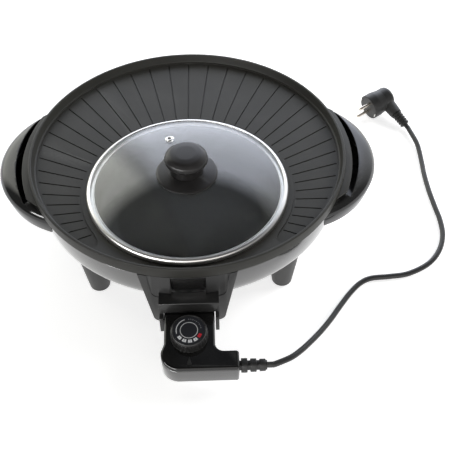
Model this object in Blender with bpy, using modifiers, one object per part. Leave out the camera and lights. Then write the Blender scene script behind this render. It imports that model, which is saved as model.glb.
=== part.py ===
"""Electric table grill with a hot-pot well, a glass lid and a plug-in control.

Metres, +Z up, -Y towards the user.  The origin is on the table, at the middle of
the space that the grill and its control take up.  Most pieces hang on an empty at
the centre of the pan's rim, whose height zero is the rim's top.
"""

import math

import bmesh
import bpy
from mathutils import Matrix, Vector

# Units
MM = 0.001

# Fits shared by all pieces
GAP = 0.0003
OVERRUN = 0.002
SLIVER = 0.00003
FLAT_ANGLE = math.radians(0.05)

# Overall
RIM_RADIUS = 0.195
RIM_HEIGHT = 0.115

# Pan casting
BAND_DEPTH = 0.014
BAND_WALL = 0.003
LIP_WIDTH = 0.0035
LIP_ROUND = 0.0015
GRILL_DEPTH = 0.010
RIM_SLOPE_WIDTH = 0.0060
PAN_FLOOR = 0.0035
WELL_OFFSET = 0.062
SEAT_WIDTH = 0.0055
WELL_SLOPE_WIDTH = 0.0230
WELL_DEPTH = 0.055
WELL_WALL = 0.0035
SEAT_INSET = 0.0035
SEAT_HEIGHT = 0.001
CRESCENT_RIM_MARGIN = 0.0080
CRESCENT_LID_MARGIN = 0.0065
CRESCENT_DEPTH = 0.0016
CRESCENT_HALF_ANGLE = math.radians(119.0)
CRESCENT_END_ANGLE = math.radians(9.0)
FAN_OFFSET = 0.082
GROOVE_PITCH = math.radians(6.0)
GROOVES_EACH_SIDE = 19
GROOVE_WIDTH = 0.0030
GROOVE_DEPTH = 0.0012
GROOVE_END_MARGIN = 0.0022
LUG_WIDTH = 0.0088
LUG_DROP = 0.0075
LUG_THICKNESS = 0.003
LUG_HALF_ANGLE = math.radians(21.5)
LUG_END_ANGLE = math.radians(28.0)

# Heating element and terminals under the well
ELEMENT_INSET = 0.0260
ELEMENT_TUBE = 0.0034
ELEMENT_OPENING = math.radians(17.0)
PIN_SPACING = 0.030
PIN_RADIUS = 0.0026
PIN_BELOW_SPLIT = 0.0080
PIN_BLOCK = (0.048, 0.009, 0.015)
PIN_BLOCK_SETBACK = 0.025
PIN_ENGAGEMENT = 0.010
SLEEVE_RADIUS = 0.0042
SLEEVE_BORE = 0.0031
SLEEVE_LENGTH = 0.018

# Base bowl
BOWL_WALL = 0.0028
BOWL_LEDGE_INSET = 0.0080
BOWL_LEDGE_WIDTH = 0.004
BOWL_LIP_INSET = 0.0038
BOWL_LIP_DROP = 0.0012
BOWL_LIP_HEIGHT = 0.0042
BOWL_LINE = 0.0012
BOWL_EDGE_INSET = 0.0100
BOWL_EDGE_DROP = 0.0620
BOWL_EDGE_ROUND = 0.006
BOWL_SLOPE_WIDTH = 0.0350
BOWL_FLOOR_CLEARANCE = 0.0025
REFLECTOR_SHEET = 0.0006
REFLECTOR_OVERHANG = 0.007
REFLECTOR_LIP = 0.017
VENT_COUNT = 8
VENT_LENGTH = 0.026
VENT_WIDTH = 0.005
VENT_RING_INSET = 0.0300

# Legs
LEG_INSET = 0.0200
LEG_ANGLE = math.radians(47.0)
LEG_TOP_RADIUS = 0.0188
LEG_FOOT_RADIUS = 0.0122
LEG_FOOT_ROUND = 0.002
PAD_RADIUS = 0.0085
PAD_SEAT = 0.0015
PAD_PROUD = 0.0012
LEG_SCREW_RADIUS = 0.0020
LEG_SCREW_HEAD = 0.0042
LEG_SCREW_LENGTH = 0.020

# Handle ears
EAR_RADIUS = 0.110
EAR_REACH = 0.0390
EAR_TOP_DROP = 0.0085
EAR_BROW_RADIUS = 0.0850
EAR_EDGE_DROP = 0.0230
EAR_BOTTOM_DROP = 0.0420
EAR_TUCK = 0.004
EAR_WALL = 0.003
EAR_SLOT = 0.0082
EAR_SLOT_ANGLE = math.radians(22.0)
EAR_SLOT_CENTRE = 0.040
EAR_SCREW_RADIUS = 0.0017
EAR_SCREW_HEAD = 0.0034
EAR_SCREW_LENGTH = 0.0062
EAR_SCREW_DROP = 0.031
EAR_SCREW_ANGLE = math.radians(8.0)

# Lid
LID_MARGIN = 0.0130
LID_RISE = 0.0215
GLASS_THICKNESS = 0.004
BAND_SHEET = 0.0007
BAND_WIDTH = 0.0050
KNOB_HOLE = 0.0040
VENT_SHIFT = -0.0220
VENT_INSET = 0.0530
VENT_HOLE = 0.0040
VENT_FLANGE = 0.0060
VENT_SHEET = 0.0007
VENT_BORE = 0.0022

# Knob
FLANGE_RADIUS = 0.0360
FLANGE_EDGE = 0.0022
FLANGE_RISE = 0.0060
NECK_RADIUS = 0.0195
NECK_HEIGHT = 0.0115
CAP_RADIUS = 0.0255
CAP_EDGE_HEIGHT = 0.0075
CAP_CROWN = 0.0045
KNOB_BORE = 0.0025
KNOB_BORE_DEPTH = 0.012
SCREW_RADIUS = 0.0020
SCREW_HEAD_RADIUS = 0.0045
SCREW_HEAD = 0.0022
WASHER_RADIUS = 0.0090
WASHER_SHEET = 0.0012

# Socket guard under the front of the rim
GUARD_TOP_HALF = 0.0550
GUARD_BOTTOM_HALF = 0.0405
GUARD_TOP_DROP = 0.0160
GUARD_BOTTOM_DROP = 0.0960
GUARD_WALL = 0.0028
GUARD_CORNER = 0.007
PANEL_TOP_HALF = 0.0475
PANEL_BOTTOM_HALF = 0.0415
PANEL_DROP = 0.0520
PANEL_DEPTH = 0.0007
WINDOW_HALF = 0.0195
WINDOW_TOP_DROP = 0.0185
HOOD_HALF = 0.0335
HOOD_WALL = 0.0042
HOOD_TOP_DROP = 0.0440
HOOD_ROOF = 0.0155
HOOD_LENGTH = 0.0132
HOOD_BOTTOM_DROP = 0.0890
ARM_LENGTH = 0.0065

# Control
CONTROL_HALF = 0.0282
CONTROL_NOSE_ENTRY = 0.0012
CONTROL_FRONT = 0.0405
CONTROL_FLARE = 0.0316
CONTROL_FLARE_AHEAD = 0.0175
CONTROL_FLARE_LENGTH = 0.0090
CONTROL_CORNER = 0.0205
CONTROL_ARM = 0.0540
CONTROL_ARM_WIDTH = 0.0225
CONTROL_INNER_ROUND = 0.0095
CONTROL_HOOD_CLEARANCE = 0.0025
CONTROL_TOP_BEHIND = 0.0265
CONTROL_UPPER_DEPTH = 0.0120
CONTROL_LOWER_DEPTH = 0.0205
CONTROL_SLOPE = math.radians(6.0)
CONTROL_WALL = 0.0025
CONTROL_EDGE = 0.0016
CONTROL_NOSE_WALL = 0.0045
CONTROL_FRONT_BLOCK = 0.0140
POINTER_LENGTH = 0.0095
POINTER_WIDTH = 0.0055
POINTER_HEIGHT = 0.001
POINTER_CLEARANCE = 0.0045

# Dial
DIAL_RADIUS = 0.0212
DIAL_TOP_RADIUS = 0.0202
DIAL_HEIGHT = 0.0125
DIAL_KNURLS = 30
DIAL_KNURL_DEPTH = 0.0007
DIAL_FACE_RADIUS = 0.0172
DIAL_FACE_RECESS = 0.0010
DIAL_FACE_SHEET = 0.0006
DIAL_BORE = 0.0030
DIAL_BORE_DEPTH = 0.006
SPINDLE_RADIUS = 0.0026

# Inside the control
SOCKET_RADIUS = 0.0044
SOCKET_LENGTH = 0.014
PROBE_RADIUS = 0.0025
PROBE_REACH = 0.0185
PROBE_LENGTH = 0.060
SWITCH_SIZE = (0.020, 0.018, 0.0055)
BIMETAL_SHEET = 0.0006
CASE_SCREW_RADIUS = 0.0016
CASE_SCREW_HEAD = 0.0028
CASE_SCREW_GRIP = 0.0035
CASE_SCREW_INSET = 0.0085
CASE_SCREW_END_INSET = 0.0140

# Cord and its relief
CORD_RADIUS = 0.0034
RELIEF_LENGTH = 0.0300
RELIEF_CORE = 0.0054
RELIEF_RIB = 0.0080
RELIEF_TIP_RIB = 0.0068
RELIEF_RIBS = 3
RELIEF_RIB_SHARE = 0.68
RELIEF_SEAT = 0.0040

# Plug
PLUG_PLACE = (0.2650, 0.1870, 0.0182)
PLUG_HEADING = math.radians(210.2)
PLUG_PITCH = math.radians(8.0)
PLUG_ROLL = math.radians(16.0)
PLUG_RADIUS = 0.0184
PLUG_BACK_RADIUS = 0.0165
PLUG_DEPTH = 0.0400
PLUG_FACE_EDGE = 0.0012
PLUG_NECK_SETBACK = 0.0290
PLUG_NECK_RADIUS = 0.0100
PLUG_NECK_REACH = 0.0310
PLUG_RELIEF_REACH = 0.0530
PLUG_RELIEF_CORE = 0.0050
PLUG_RELIEF_RIB = 0.0076
PLUG_RELIEF_RIBS = 5
PLUG_PIN_SPACING = 0.0190
PLUG_PIN_RADIUS = 0.0024
PLUG_PIN_LENGTH = 0.0190
PLUG_PIN_SEAT = 0.0040
PLUG_CLIP_PLACE = 0.0162
PLUG_CLIP_SIZE = (0.0080, 0.0012, 0.0065)

# Facets round a full turn, by the size of the piece
ROUND_LARGE = 48
ROUND_LID = 36
ROUND_MID = 24
ROUND_SMALL = 12
ROUND_TINY = 8

# Places that follow from the sizes above
LID_RADIUS = RIM_RADIUS - WELL_OFFSET - LID_MARGIN
SEAT_RADIUS = LID_RADIUS - SEAT_INSET
WELL_RADIUS = SEAT_RADIUS - SEAT_WIDTH
WELL_FLOOR_RADIUS = WELL_RADIUS - WELL_SLOPE_WIDTH
ELEMENT_RADIUS = WELL_FLOOR_RADIUS - ELEMENT_INSET
VENT_PLACE = (VENT_SHIFT, LID_RADIUS - VENT_INSET)
RIM_FOOT_RADIUS = RIM_RADIUS - RIM_SLOPE_WIDTH
CRESCENT_RADIUS = RIM_RADIUS - CRESCENT_RIM_MARGIN
CRESCENT_INNER_RADIUS = LID_RADIUS + CRESCENT_LID_MARGIN
BOWL_LEDGE_RADIUS = RIM_RADIUS - BOWL_LEDGE_INSET
BOWL_LIP_RADIUS = RIM_RADIUS - BOWL_LIP_INSET
BOWL_EDGE_RADIUS = RIM_RADIUS - BOWL_EDGE_INSET
BOWL_FLOOR_RADIUS = BOWL_EDGE_RADIUS - BOWL_SLOPE_WIDTH
VENT_RING_RADIUS = BOWL_FLOOR_RADIUS - VENT_RING_INSET
LEG_RING_RADIUS = BOWL_EDGE_RADIUS - LEG_INSET
EAR_CENTRE = RIM_RADIUS + EAR_REACH - EAR_RADIUS
GUARD_RADIUS = BOWL_LIP_RADIUS + GAP + GUARD_WALL
HOOD_REACH = GUARD_RADIUS + HOOD_LENGTH
ARM_REACH = HOOD_REACH + ARM_LENGTH
DIAL_REACH = ARM_REACH + GAP + DIAL_RADIUS
CONTROL_BACK = BOWL_LIP_RADIUS - CONTROL_NOSE_ENTRY
CONTROL_TOP_REACH = DIAL_REACH - CONTROL_TOP_BEHIND
CONTROL_TOP_DROP = HOOD_TOP_DROP + HOOD_ROOF + CONTROL_HOOD_CLEARANCE
CONTROL_SPLIT_DROP = CONTROL_TOP_DROP + CONTROL_UPPER_DEPTH
CONTROL_BOTTOM_DROP = CONTROL_SPLIT_DROP + CONTROL_LOWER_DEPTH
PIN_DROP = CONTROL_SPLIT_DROP + PIN_BELOW_SPLIT
RELIEF_DROP = CONTROL_SPLIT_DROP + RELIEF_RIB
CONTROL_REACH = DIAL_REACH + CONTROL_FRONT
CONTROL_FLARE_REACH = DIAL_REACH + CONTROL_FLARE_AHEAD
CONTROL_CAVITY_BACK = CONTROL_BACK + CONTROL_NOSE_WALL
CONTROL_CAVITY_FRONT = CONTROL_REACH - CONTROL_FRONT_BLOCK
POINTER_REACH = DIAL_REACH + DIAL_RADIUS + POINTER_CLEARANCE + POINTER_LENGTH / 2
RELIEF_REACH = CONTROL_REACH - CONTROL_ARM_WIDTH / 2
CASE_SCREW_LENGTH = CONTROL_BOTTOM_DROP - CONTROL_WALL - CONTROL_SPLIT_DROP + CASE_SCREW_GRIP
CASE_SCREW_PLACES = (
    (-CONTROL_CORNER, CONTROL_REACH - CASE_SCREW_INSET), (PIN_SPACING / 2, CONTROL_REACH - CASE_SCREW_INSET),
    (CONTROL_ARM - CASE_SCREW_END_INSET, RELIEF_REACH),
)
PIN_BLOCK_REACH = CONTROL_BACK - PIN_BLOCK_SETBACK
PIN_LENGTH = CONTROL_CAVITY_BACK + PIN_ENGAGEMENT - PIN_BLOCK_REACH - PIN_BLOCK[1] / 2
REFLECTOR_RADIUS = BOWL_FLOOR_RADIUS + REFLECTOR_OVERHANG
REFLECTOR_FLAT = REFLECTOR_RADIUS - REFLECTOR_LIP
PAN_Y = (CONTROL_REACH - RIM_RADIUS) / 2
SEAT_TOP = SEAT_HEIGHT - GRILL_DEPTH
PAN_UNDERSIDE = -GRILL_DEPTH - PAN_FLOOR
WELL_UNDERSIDE = -WELL_DEPTH - WELL_WALL
ELEMENT_Z = WELL_UNDERSIDE - GAP - ELEMENT_TUBE
BOWL_FLOOR_Z = ELEMENT_Z - ELEMENT_TUBE - 2 * BOWL_FLOOR_CLEARANCE - REFLECTOR_SHEET
GLASS_EDGE = LID_RADIUS - BAND_SHEET - GAP
GLASS_EDGE_TOP = SEAT_TOP + GAP + BAND_SHEET + GAP + GLASS_THICKNESS
DOME_RADIUS = (GLASS_EDGE ** 2 + LID_RISE ** 2) / (2 * LID_RISE)
LUG_TOP = -LUG_DROP

# Scene and materials


def clear_scene():
    for item in list(bpy.data.objects):
        bpy.data.objects.remove(item, do_unlink=True)


def new_collection(name):
    group = bpy.data.collections.new(name)
    bpy.context.scene.collection.children.link(group)
    return group


def new_material(name, colour, roughness, metallic=0.0, alpha=1.0):
    surface = bpy.data.materials.new(name)
    surface.use_nodes = True
    shader = surface.node_tree.nodes["Principled BSDF"]
    shader.inputs["Base Color"].default_value = (*colour, 1.0)
    shader.inputs["Roughness"].default_value = roughness
    shader.inputs["Metallic"].default_value = metallic
    shader.inputs["Alpha"].default_value = alpha
    return surface


clear_scene()
GRILL = new_collection("electric_table_grill")
CUTTERS = new_collection("cutters")

COATING = new_material("nonstick_coating", (0.035, 0.035, 0.034), 0.42)
GLOSS = new_material("gloss_plastic", (0.012, 0.012, 0.012), 0.12)
SATIN = new_material("satin_plastic", (0.040, 0.040, 0.040), 0.38)
LEG_PLASTIC = new_material("leg_plastic", (0.035, 0.035, 0.034), 0.50)
KNOB_PLASTIC = new_material("knob_plastic", (0.020, 0.020, 0.020), 0.34)
GLASS = new_material("tempered_glass", (0.75, 0.80, 0.80), 0.03, 0.0, 0.35)
STEEL = new_material("bright_steel", (0.72, 0.70, 0.66), 0.18, 1.0)
ALUMINIUM = new_material("aluminium_sheet", (0.80, 0.80, 0.80), 0.30, 1.0)
BRASS = new_material("brass", (0.78, 0.60, 0.28), 0.30, 1.0)
PAD_RUBBER = new_material("pad_rubber", (0.020, 0.020, 0.020), 0.80)
CORD_RUBBER = new_material("cord_rubber", (0.025, 0.025, 0.025), 0.55)
DIAL_PRINT = new_material("dial_print", (0.030, 0.030, 0.040), 0.35)
SWITCH_CERAMIC = new_material("switch_ceramic", (0.80, 0.78, 0.72), 0.60)


# Guides that carry the pieces


def guide(name, parent=None, place=(0.0, 0.0, 0.0), turn=None):
    empty = bpy.data.objects.new(name, None)
    GRILL.objects.link(empty)
    empty.parent = parent
    empty.matrix_local = Matrix.Translation(place) @ (turn or Matrix.Identity(4))
    return empty


RIM = guide("rim_centre", None, (0.0, PAN_Y, RIM_HEIGHT))
WELL = guide("well_axis", RIM, (0.0, -WELL_OFFSET, 0.0))
LID = guide("lid_lift", WELL)
CONTROL = guide("control_slide", RIM)
DIAL_TOP_Z = -CONTROL_TOP_DROP - (DIAL_REACH - CONTROL_TOP_REACH) * math.tan(CONTROL_SLOPE)
DIAL = guide(
    "dial_axis", CONTROL, (0.0, -DIAL_REACH, DIAL_TOP_Z), Matrix.Rotation(CONTROL_SLOPE, 4, "X")
)


# Shapes


def settle(piece, parent, surface, place=(0.0, 0.0, 0.0), turn=None):
    """Put a piece in the collection, on its guide, with its material."""
    GRILL.objects.link(piece)
    piece.parent = parent
    piece.matrix_local = Matrix.Translation(place) @ (turn or Matrix.Identity(4))
    if surface is not None:
        piece.data.materials.clear()
        piece.data.materials.append(surface)
    return piece


def shade(mesh, angle=math.radians(35.0)):
    mesh.shade_smooth()
    mesh.set_sharp_from_angle(angle=angle)


def mesh_from(builder, name):
    mesh = bpy.data.meshes.new(name)
    work = bmesh.new()
    builder(work)
    work.to_mesh(mesh)
    work.free()
    return mesh


def turned_mesh(name, profile, steps):
    """Revolve a profile of (radius, height) points about Z with a Screw modifier.

    A profile that starts and ends on the axis makes a solid; any other is closed
    into a loop.  Either runs outwards on top, down its outer side and back below.
    """
    closed = profile[0][0] > 0.0

    def builder(work):
        verts = [work.verts.new((r, 0.0, z)) for r, z in profile]
        pairs = list(zip(verts, verts[1:]))
        if closed:
            pairs.append((verts[-1], verts[0]))
        for start, end in pairs:
            work.edges.new((start, end))

    mesh = mesh_from(builder, name + "_profile")
    holder = bpy.data.objects.new(name + "_profile", mesh)
    CUTTERS.objects.link(holder)
    screw = holder.modifiers.new("turn", "SCREW")
    screw.axis = "Z"
    screw.angle = 2 * math.pi
    screw.steps = steps
    screw.render_steps = steps
    screw.use_merge_vertices = True
    screw.merge_threshold = 0.000001
    screw.use_smooth_shade = True
    return baked_mesh(holder, name)


def baked_mesh(holder, name):
    """The evaluated mesh of a helper object, welded; the helper is removed."""
    bpy.context.view_layer.update()
    depsgraph = bpy.context.evaluated_depsgraph_get()
    mesh = bpy.data.meshes.new_from_object(holder.evaluated_get(depsgraph))
    mesh.name = name
    work = bmesh.new()
    work.from_mesh(mesh)
    bmesh.ops.remove_doubles(work, verts=work.verts, dist=0.000002)
    bmesh.ops.recalc_face_normals(work, faces=work.faces)
    hubs = [v for v in work.verts if len(v.link_edges) > ROUND_TINY // 2 and v.co.xy.length < SLIVER]
    flat = [v for v in hubs if all(e.calc_face_angle(0.0) < FLAT_ANGLE for e in v.link_edges)]
    bmesh.ops.dissolve_verts(work, verts=flat)
    if isinstance(holder.data, bpy.types.Curve) and holder.data.dimensions == "2D":
        bmesh.ops.dissolve_limit(work, angle_limit=FLAT_ANGLE, verts=work.verts, edges=work.edges)
    work.to_mesh(mesh)
    work.free()
    shade(mesh)
    data = holder.data
    bpy.data.objects.remove(holder, do_unlink=True)
    if isinstance(data, bpy.types.Curve):
        bpy.data.curves.remove(data)
    else:
        bpy.data.meshes.remove(data)
    return mesh


def outline_mesh(name, outline, low, high):
    """A flat outline of (x, y) points, filled, from height low to height high."""
    curve = bpy.data.curves.new(name + "_outline", "CURVE")
    curve.dimensions = "2D"
    curve.fill_mode = "BOTH"
    curve.extrude = (high - low) / 2
    spline = curve.splines.new("POLY")
    spline.points.add(len(outline) - 1)
    for point, (x, y) in zip(spline.points, outline):
        point.co = (x, y, 0.0, 1.0)
    spline.use_cyclic_u = True
    holder = bpy.data.objects.new(name + "_outline", curve)
    CUTTERS.objects.link(holder)
    mesh = baked_mesh(holder, name)
    mesh.transform(Matrix.Translation((0.0, 0.0, (low + high) / 2)))
    return mesh


def tube_mesh(name, points, radius, resolution=2):
    """A round tube with flat ends along points."""
    curve = bpy.data.curves.new(name + "_path", "CURVE")
    curve.dimensions = "3D"
    curve.bevel_depth = radius
    curve.bevel_resolution = resolution
    curve.use_fill_caps = True
    spline = curve.splines.new("POLY")
    spline.points.add(len(points) - 1)
    for point, place in zip(spline.points, points):
        point.co = (*place, 1.0)
    holder = bpy.data.objects.new(name + "_path", curve)
    CUTTERS.objects.link(holder)
    return baked_mesh(holder, name)


def box_mesh(name, size, centre=(0.0, 0.0, 0.0)):
    def builder(work):
        made = bmesh.ops.create_cube(work, size=1.0)
        bmesh.ops.scale(work, vec=size, verts=made["verts"])
        bmesh.ops.translate(work, vec=centre, verts=made["verts"])

    return mesh_from(builder, name)


def rod_mesh(name, radius, start, end, steps=ROUND_TINY, end_radius=None):
    """A straight round rod between two points."""
    axis = Vector(end) - Vector(start)
    tip = radius if end_radius is None else end_radius
    turn = axis.to_track_quat("Z", "Y").to_matrix().to_4x4()
    middle = Matrix.Translation((Vector(start) + Vector(end)) / 2)

    def builder(work):
        bmesh.ops.create_cone(
            work, cap_ends=True, segments=steps, radius1=radius, radius2=tip,
            depth=axis.length, matrix=middle @ turn,
        )

    mesh = mesh_from(builder, name)
    shade(mesh)
    return mesh


def joined_mesh(name, meshes):
    """Several closed bodies in one mesh."""
    work = bmesh.new()
    for mesh in meshes:
        work.from_mesh(mesh)
        bpy.data.meshes.remove(mesh)
    joined = bpy.data.meshes.new(name)
    work.to_mesh(joined)
    work.free()
    shade(joined)
    return joined


def cutter(name, mesh, parent, place=(0.0, 0.0, 0.0), turn=None):
    tool = bpy.data.objects.new(name, mesh)
    CUTTERS.objects.link(tool)
    tool.parent = parent
    tool.matrix_local = Matrix.Translation(place) @ (turn or Matrix.Identity(4))
    tool.hide_render = True
    tool.display_type = "WIRE"
    return tool


def combine(piece, tool, operation="DIFFERENCE"):
    step = piece.modifiers.new(tool.name, "BOOLEAN")
    step.operation = operation
    step.solver = "EXACT"
    step.object = tool
    return step


def soften(piece, width, segments=1, limit=math.radians(40.0)):
    edge = piece.modifiers.new("rounded_edges", "BEVEL")
    edge.width = width
    edge.segments = segments
    edge.limit_method = "ANGLE"
    edge.angle_limit = limit
    return edge


def weld(piece):
    """Close the hair-thin slivers that cuts between faceted rounds leave, and merge flats."""
    step = piece.modifiers.new("weld", "WELD")
    step.merge_threshold = SLIVER
    flats = piece.modifiers.new("flats", "DECIMATE")
    flats.decimate_type = "DISSOLVE"
    flats.angle_limit = FLAT_ANGLE


def arc(centre, radius, start, end, steps):
    """Points along an arc, both ends included."""
    return [
        (
            centre[0] + radius * math.cos(start + (end - start) * i / steps),
            centre[1] + radius * math.sin(start + (end - start) * i / steps),
        )
        for i in range(steps + 1)
    ]


def rounded(corners):
    """An outline with its corners rounded; each corner is (x, y, radius, steps)."""
    outline = []
    count = len(corners)
    for i, (x, y, radius, steps) in enumerate(corners):
        here = Vector((x, y))
        if radius <= 0.0:
            outline.append((x, y))
            continue
        back = (Vector(corners[i - 1][:2]) - here).normalized()
        ahead = (Vector(corners[(i + 1) % count][:2]) - here).normalized()
        half = back.angle(ahead) / 2
        middle = here + (back + ahead).normalized() * radius / math.sin(half)
        first = here + back * radius / math.tan(half)
        last = here + ahead * radius / math.tan(half)
        start = (first - middle).to_tuple()
        sweep = (first - middle).angle_signed(last - middle)
        base = math.atan2(start[1], start[0])
        outline += arc(middle, radius, base, base - sweep, steps)
    return outline


def ring_sector(inner, outer, half_angle, steps, heading=0.0):
    """An outline between two radii about the pan's axis."""
    outer_arc = arc((0.0, 0.0), outer, heading - half_angle, heading + half_angle, steps)
    inner_arc = arc((0.0, 0.0), inner, heading + half_angle, heading - half_angle, steps)
    return outer_arc + inner_arc


def ray_to_circle(origin, heading, centre, radius):
    """Where a ray from origin leaves a circle, as a distance along the ray."""
    offset = Vector(origin) - Vector(centre)
    ahead = Vector((math.cos(heading), math.sin(heading)))
    along = offset.dot(ahead)
    return -along + math.sqrt(along ** 2 - offset.length_squared + radius ** 2)


# Pan


def fan_point(heading, reach):
    return (reach * math.cos(heading), -FAN_OFFSET + reach * math.sin(heading))


def fan_span(heading):
    """Reaches of the crescent's inner and outer borders along one ray of the fan."""
    fan = (0.0, -FAN_OFFSET)
    inner = ray_to_circle(fan, heading, (0.0, -WELL_OFFSET), CRESCENT_INNER_RADIUS)
    outer = ray_to_circle(fan, heading, (0.0, 0.0), CRESCENT_RADIUS)
    return inner, outer


def crescent_outline(steps=44, end_steps=5):
    """The grill's crescent: two circles about different centres, with round ends."""
    turn = CRESCENT_HALF_ANGLE
    ends = [turn - CRESCENT_END_ANGLE * (1 - math.sin(math.pi / 2 * i / end_steps)) for i in
            range(end_steps + 1)]
    middle = [(turn - CRESCENT_END_ANGLE) * (2 * i / steps - 1) for i in range(steps + 1)]
    headings = [-a for a in reversed(ends)] + middle[1:-1] + ends
    outside = []
    inside = []
    for swing in headings:
        heading = math.pi / 2 - swing
        inner, outer = fan_span(heading)
        into_end = max(0.0, (abs(swing) - turn + CRESCENT_END_ANGLE) / CRESCENT_END_ANGLE)
        half = (outer - inner) / 2 * math.sqrt(max(0.0, 1 - into_end ** 3))
        centre = (outer + inner) / 2
        outside.append(fan_point(heading, centre + half))
        if half > 0.0:
            inside.append(fan_point(heading, centre - half))
    return outside + inside[::-1]


def groove_meshes():
    """One shallow channel for each ray of the fan, inside the crescent."""
    meshes = []
    floor = -GRILL_DEPTH - CRESCENT_DEPTH
    for i in range(-GROOVES_EACH_SIDE, GROOVES_EACH_SIDE + 1):
        heading = math.pi / 2 + i * GROOVE_PITCH
        inner, outer = fan_span(heading)
        start = inner + GROOVE_END_MARGIN
        end = outer - GROOVE_END_MARGIN
        bar = box_mesh(
            "groove", (end - start, GROOVE_WIDTH, GROOVE_DEPTH + OVERRUN / 4),
            ((start + end) / 2, 0.0, floor - (GROOVE_DEPTH - OVERRUN / 4) / 2),
        )
        turn = Matrix.Translation((0.0, -FAN_OFFSET, 0.0)) @ Matrix.Rotation(heading, 4, "Z")
        bar.transform(turn)
        meshes.append(bar)
    return meshes


def well_profile(radius, floor_radius, top, floor, steps=4):
    """A bowl of given mouth and floor, with a round corner between them."""
    corner = radius - floor_radius
    height = min(corner * 1.1, (top - floor) / 2)
    bend = [
        (
            floor_radius + corner * math.cos(math.pi / 2 * i / steps),
            floor + height * (1 - math.sin(math.pi / 2 * i / steps)),
        )
        for i in range(steps + 1)
    ]
    return [(0.0, top), (radius, top)] + bend + [(0.0, floor)]


def lug_outline(heading, inner, room=0.0):
    """A lug's plan from the inner radius out, with slanting ends, and some room round it."""
    more = 3 * room / RIM_RADIUS
    tip = LUG_HALF_ANGLE + more
    root = LUG_END_ANGLE + more
    steps = 10
    outside = arc((0.0, 0.0), RIM_RADIUS + LUG_WIDTH + room, heading - tip, heading + tip, steps)
    return outside + arc((0.0, 0.0), inner, heading + root, heading - root, steps)


def make_pan():
    lip = LIP_ROUND
    inner_lip = RIM_RADIUS - LIP_WIDTH
    skirt = RIM_RADIUS - BAND_WALL
    profile = [
        (0.0, -GRILL_DEPTH), (RIM_FOOT_RADIUS, -GRILL_DEPTH), (inner_lip, 0.0),
        (RIM_RADIUS - lip, 0.0), (RIM_RADIUS, -lip),
        (RIM_RADIUS, -BAND_DEPTH), (skirt, -BAND_DEPTH), (skirt, PAN_UNDERSIDE + PAN_FLOOR),
        (RIM_FOOT_RADIUS, PAN_UNDERSIDE), (0.0, PAN_UNDERSIDE),
    ]
    pan = bpy.data.objects.new("grill_pan", turned_mesh("grill_pan", profile, ROUND_LARGE))
    settle(pan, RIM, COATING)
    outer = well_profile(
        WELL_RADIUS + WELL_WALL, WELL_FLOOR_RADIUS + WELL_WALL, PAN_UNDERSIDE + PAN_FLOOR / 2,
        WELL_UNDERSIDE,
    )
    shell = [(0.0, SEAT_TOP), (SEAT_RADIUS, SEAT_TOP), (SEAT_RADIUS, PAN_UNDERSIDE + PAN_FLOOR / 2)]
    bowl = turned_mesh("well_body", shell + outer[1:], ROUND_LID)
    combine(pan, cutter("well_body", bowl, WELL), "UNION")
    for side in (-1, 1):
        heading = 0.0 if side > 0 else math.pi
        plan = lug_outline(heading, skirt + LIP_ROUND / 2)
        lug = outline_mesh("pan_lug", plan, LUG_TOP - LUG_THICKNESS, LUG_TOP)
        combine(pan, cutter("pan_lug", lug, RIM), "UNION")
    cavity = turned_mesh(
        "well_cavity",
        well_profile(WELL_RADIUS, WELL_FLOOR_RADIUS, SEAT_TOP + OVERRUN, -WELL_DEPTH),
        ROUND_LID,
    )
    combine(pan, cutter("well_cavity", cavity, WELL))
    crescent = outline_mesh(
        "crescent", crescent_outline(), -GRILL_DEPTH - CRESCENT_DEPTH, -GRILL_DEPTH + OVERRUN
    )
    combine(pan, cutter("crescent", crescent, RIM))
    combine(pan, cutter("grooves", joined_mesh("grooves", groove_meshes()), RIM))
    weld(pan)
    return pan


# Heating element, terminals and reflector


def make_element():
    """A ring tube under the well whose cold ends drop to the terminal block."""
    ring_y = -WELL_OFFSET
    start = -math.pi / 2 + ELEMENT_OPENING
    turns = arc((0.0, ring_y), ELEMENT_RADIUS, start, start + 2 * math.pi - 2 * ELEMENT_OPENING, 26)
    half = PIN_SPACING / 2
    back = -PIN_BLOCK_REACH + PIN_BLOCK[1] / 2 + GAP
    low = -PIN_DROP
    bend = ELEMENT_TUBE * 1.5
    turn = back + ELEMENT_TUBE * 2
    lead = [
        (half, back, low), (half, turn, low), (half, turn + bend, low + bend),
        (half, turn + bend, ELEMENT_Z - bend), (half, turn + 2 * bend, ELEMENT_Z),
    ]
    ring = [(x, y, ELEMENT_Z) for x, y in turns]
    tail = [(-x, y, z) for x, y, z in reversed(lead)]
    mesh = tube_mesh("heating_element", lead + ring + tail, ELEMENT_TUBE, 1)
    settle(bpy.data.objects.new("heating_element", mesh), RIM, STEEL)
    block = bpy.data.objects.new(
        "terminal_block", box_mesh("terminal_block", PIN_BLOCK, (0.0, -PIN_BLOCK_REACH, -PIN_DROP))
    )
    settle(block, RIM, SWITCH_CERAMIC)
    soften(block, GAP * 2)
    front = -PIN_BLOCK_REACH - PIN_BLOCK[1] / 2 - GAP
    for side, name in ((-1, "terminal_pin_left"), (1, "terminal_pin_right")):
        x = side * half
        stem = rod_mesh(name, PIN_RADIUS, (x, front, low), (x, front - PIN_LENGTH, low))
        pin = settle(bpy.data.objects.new(name, stem), RIM, STEEL)
        soften(pin, PIN_RADIUS / 4)
    sleeve = turned_mesh(
        "probe_sleeve",
        [(SLEEVE_BORE, 0.0), (SLEEVE_RADIUS, 0.0), (SLEEVE_RADIUS, -SLEEVE_LENGTH),
         (SLEEVE_BORE, -SLEEVE_LENGTH)],
        ROUND_TINY,
    )
    settle(
        bpy.data.objects.new("probe_sleeve", sleeve), RIM, ALUMINIUM, (0.0, front, low),
        Matrix.Rotation(-math.pi / 2, 4, "X"),
    )


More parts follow.
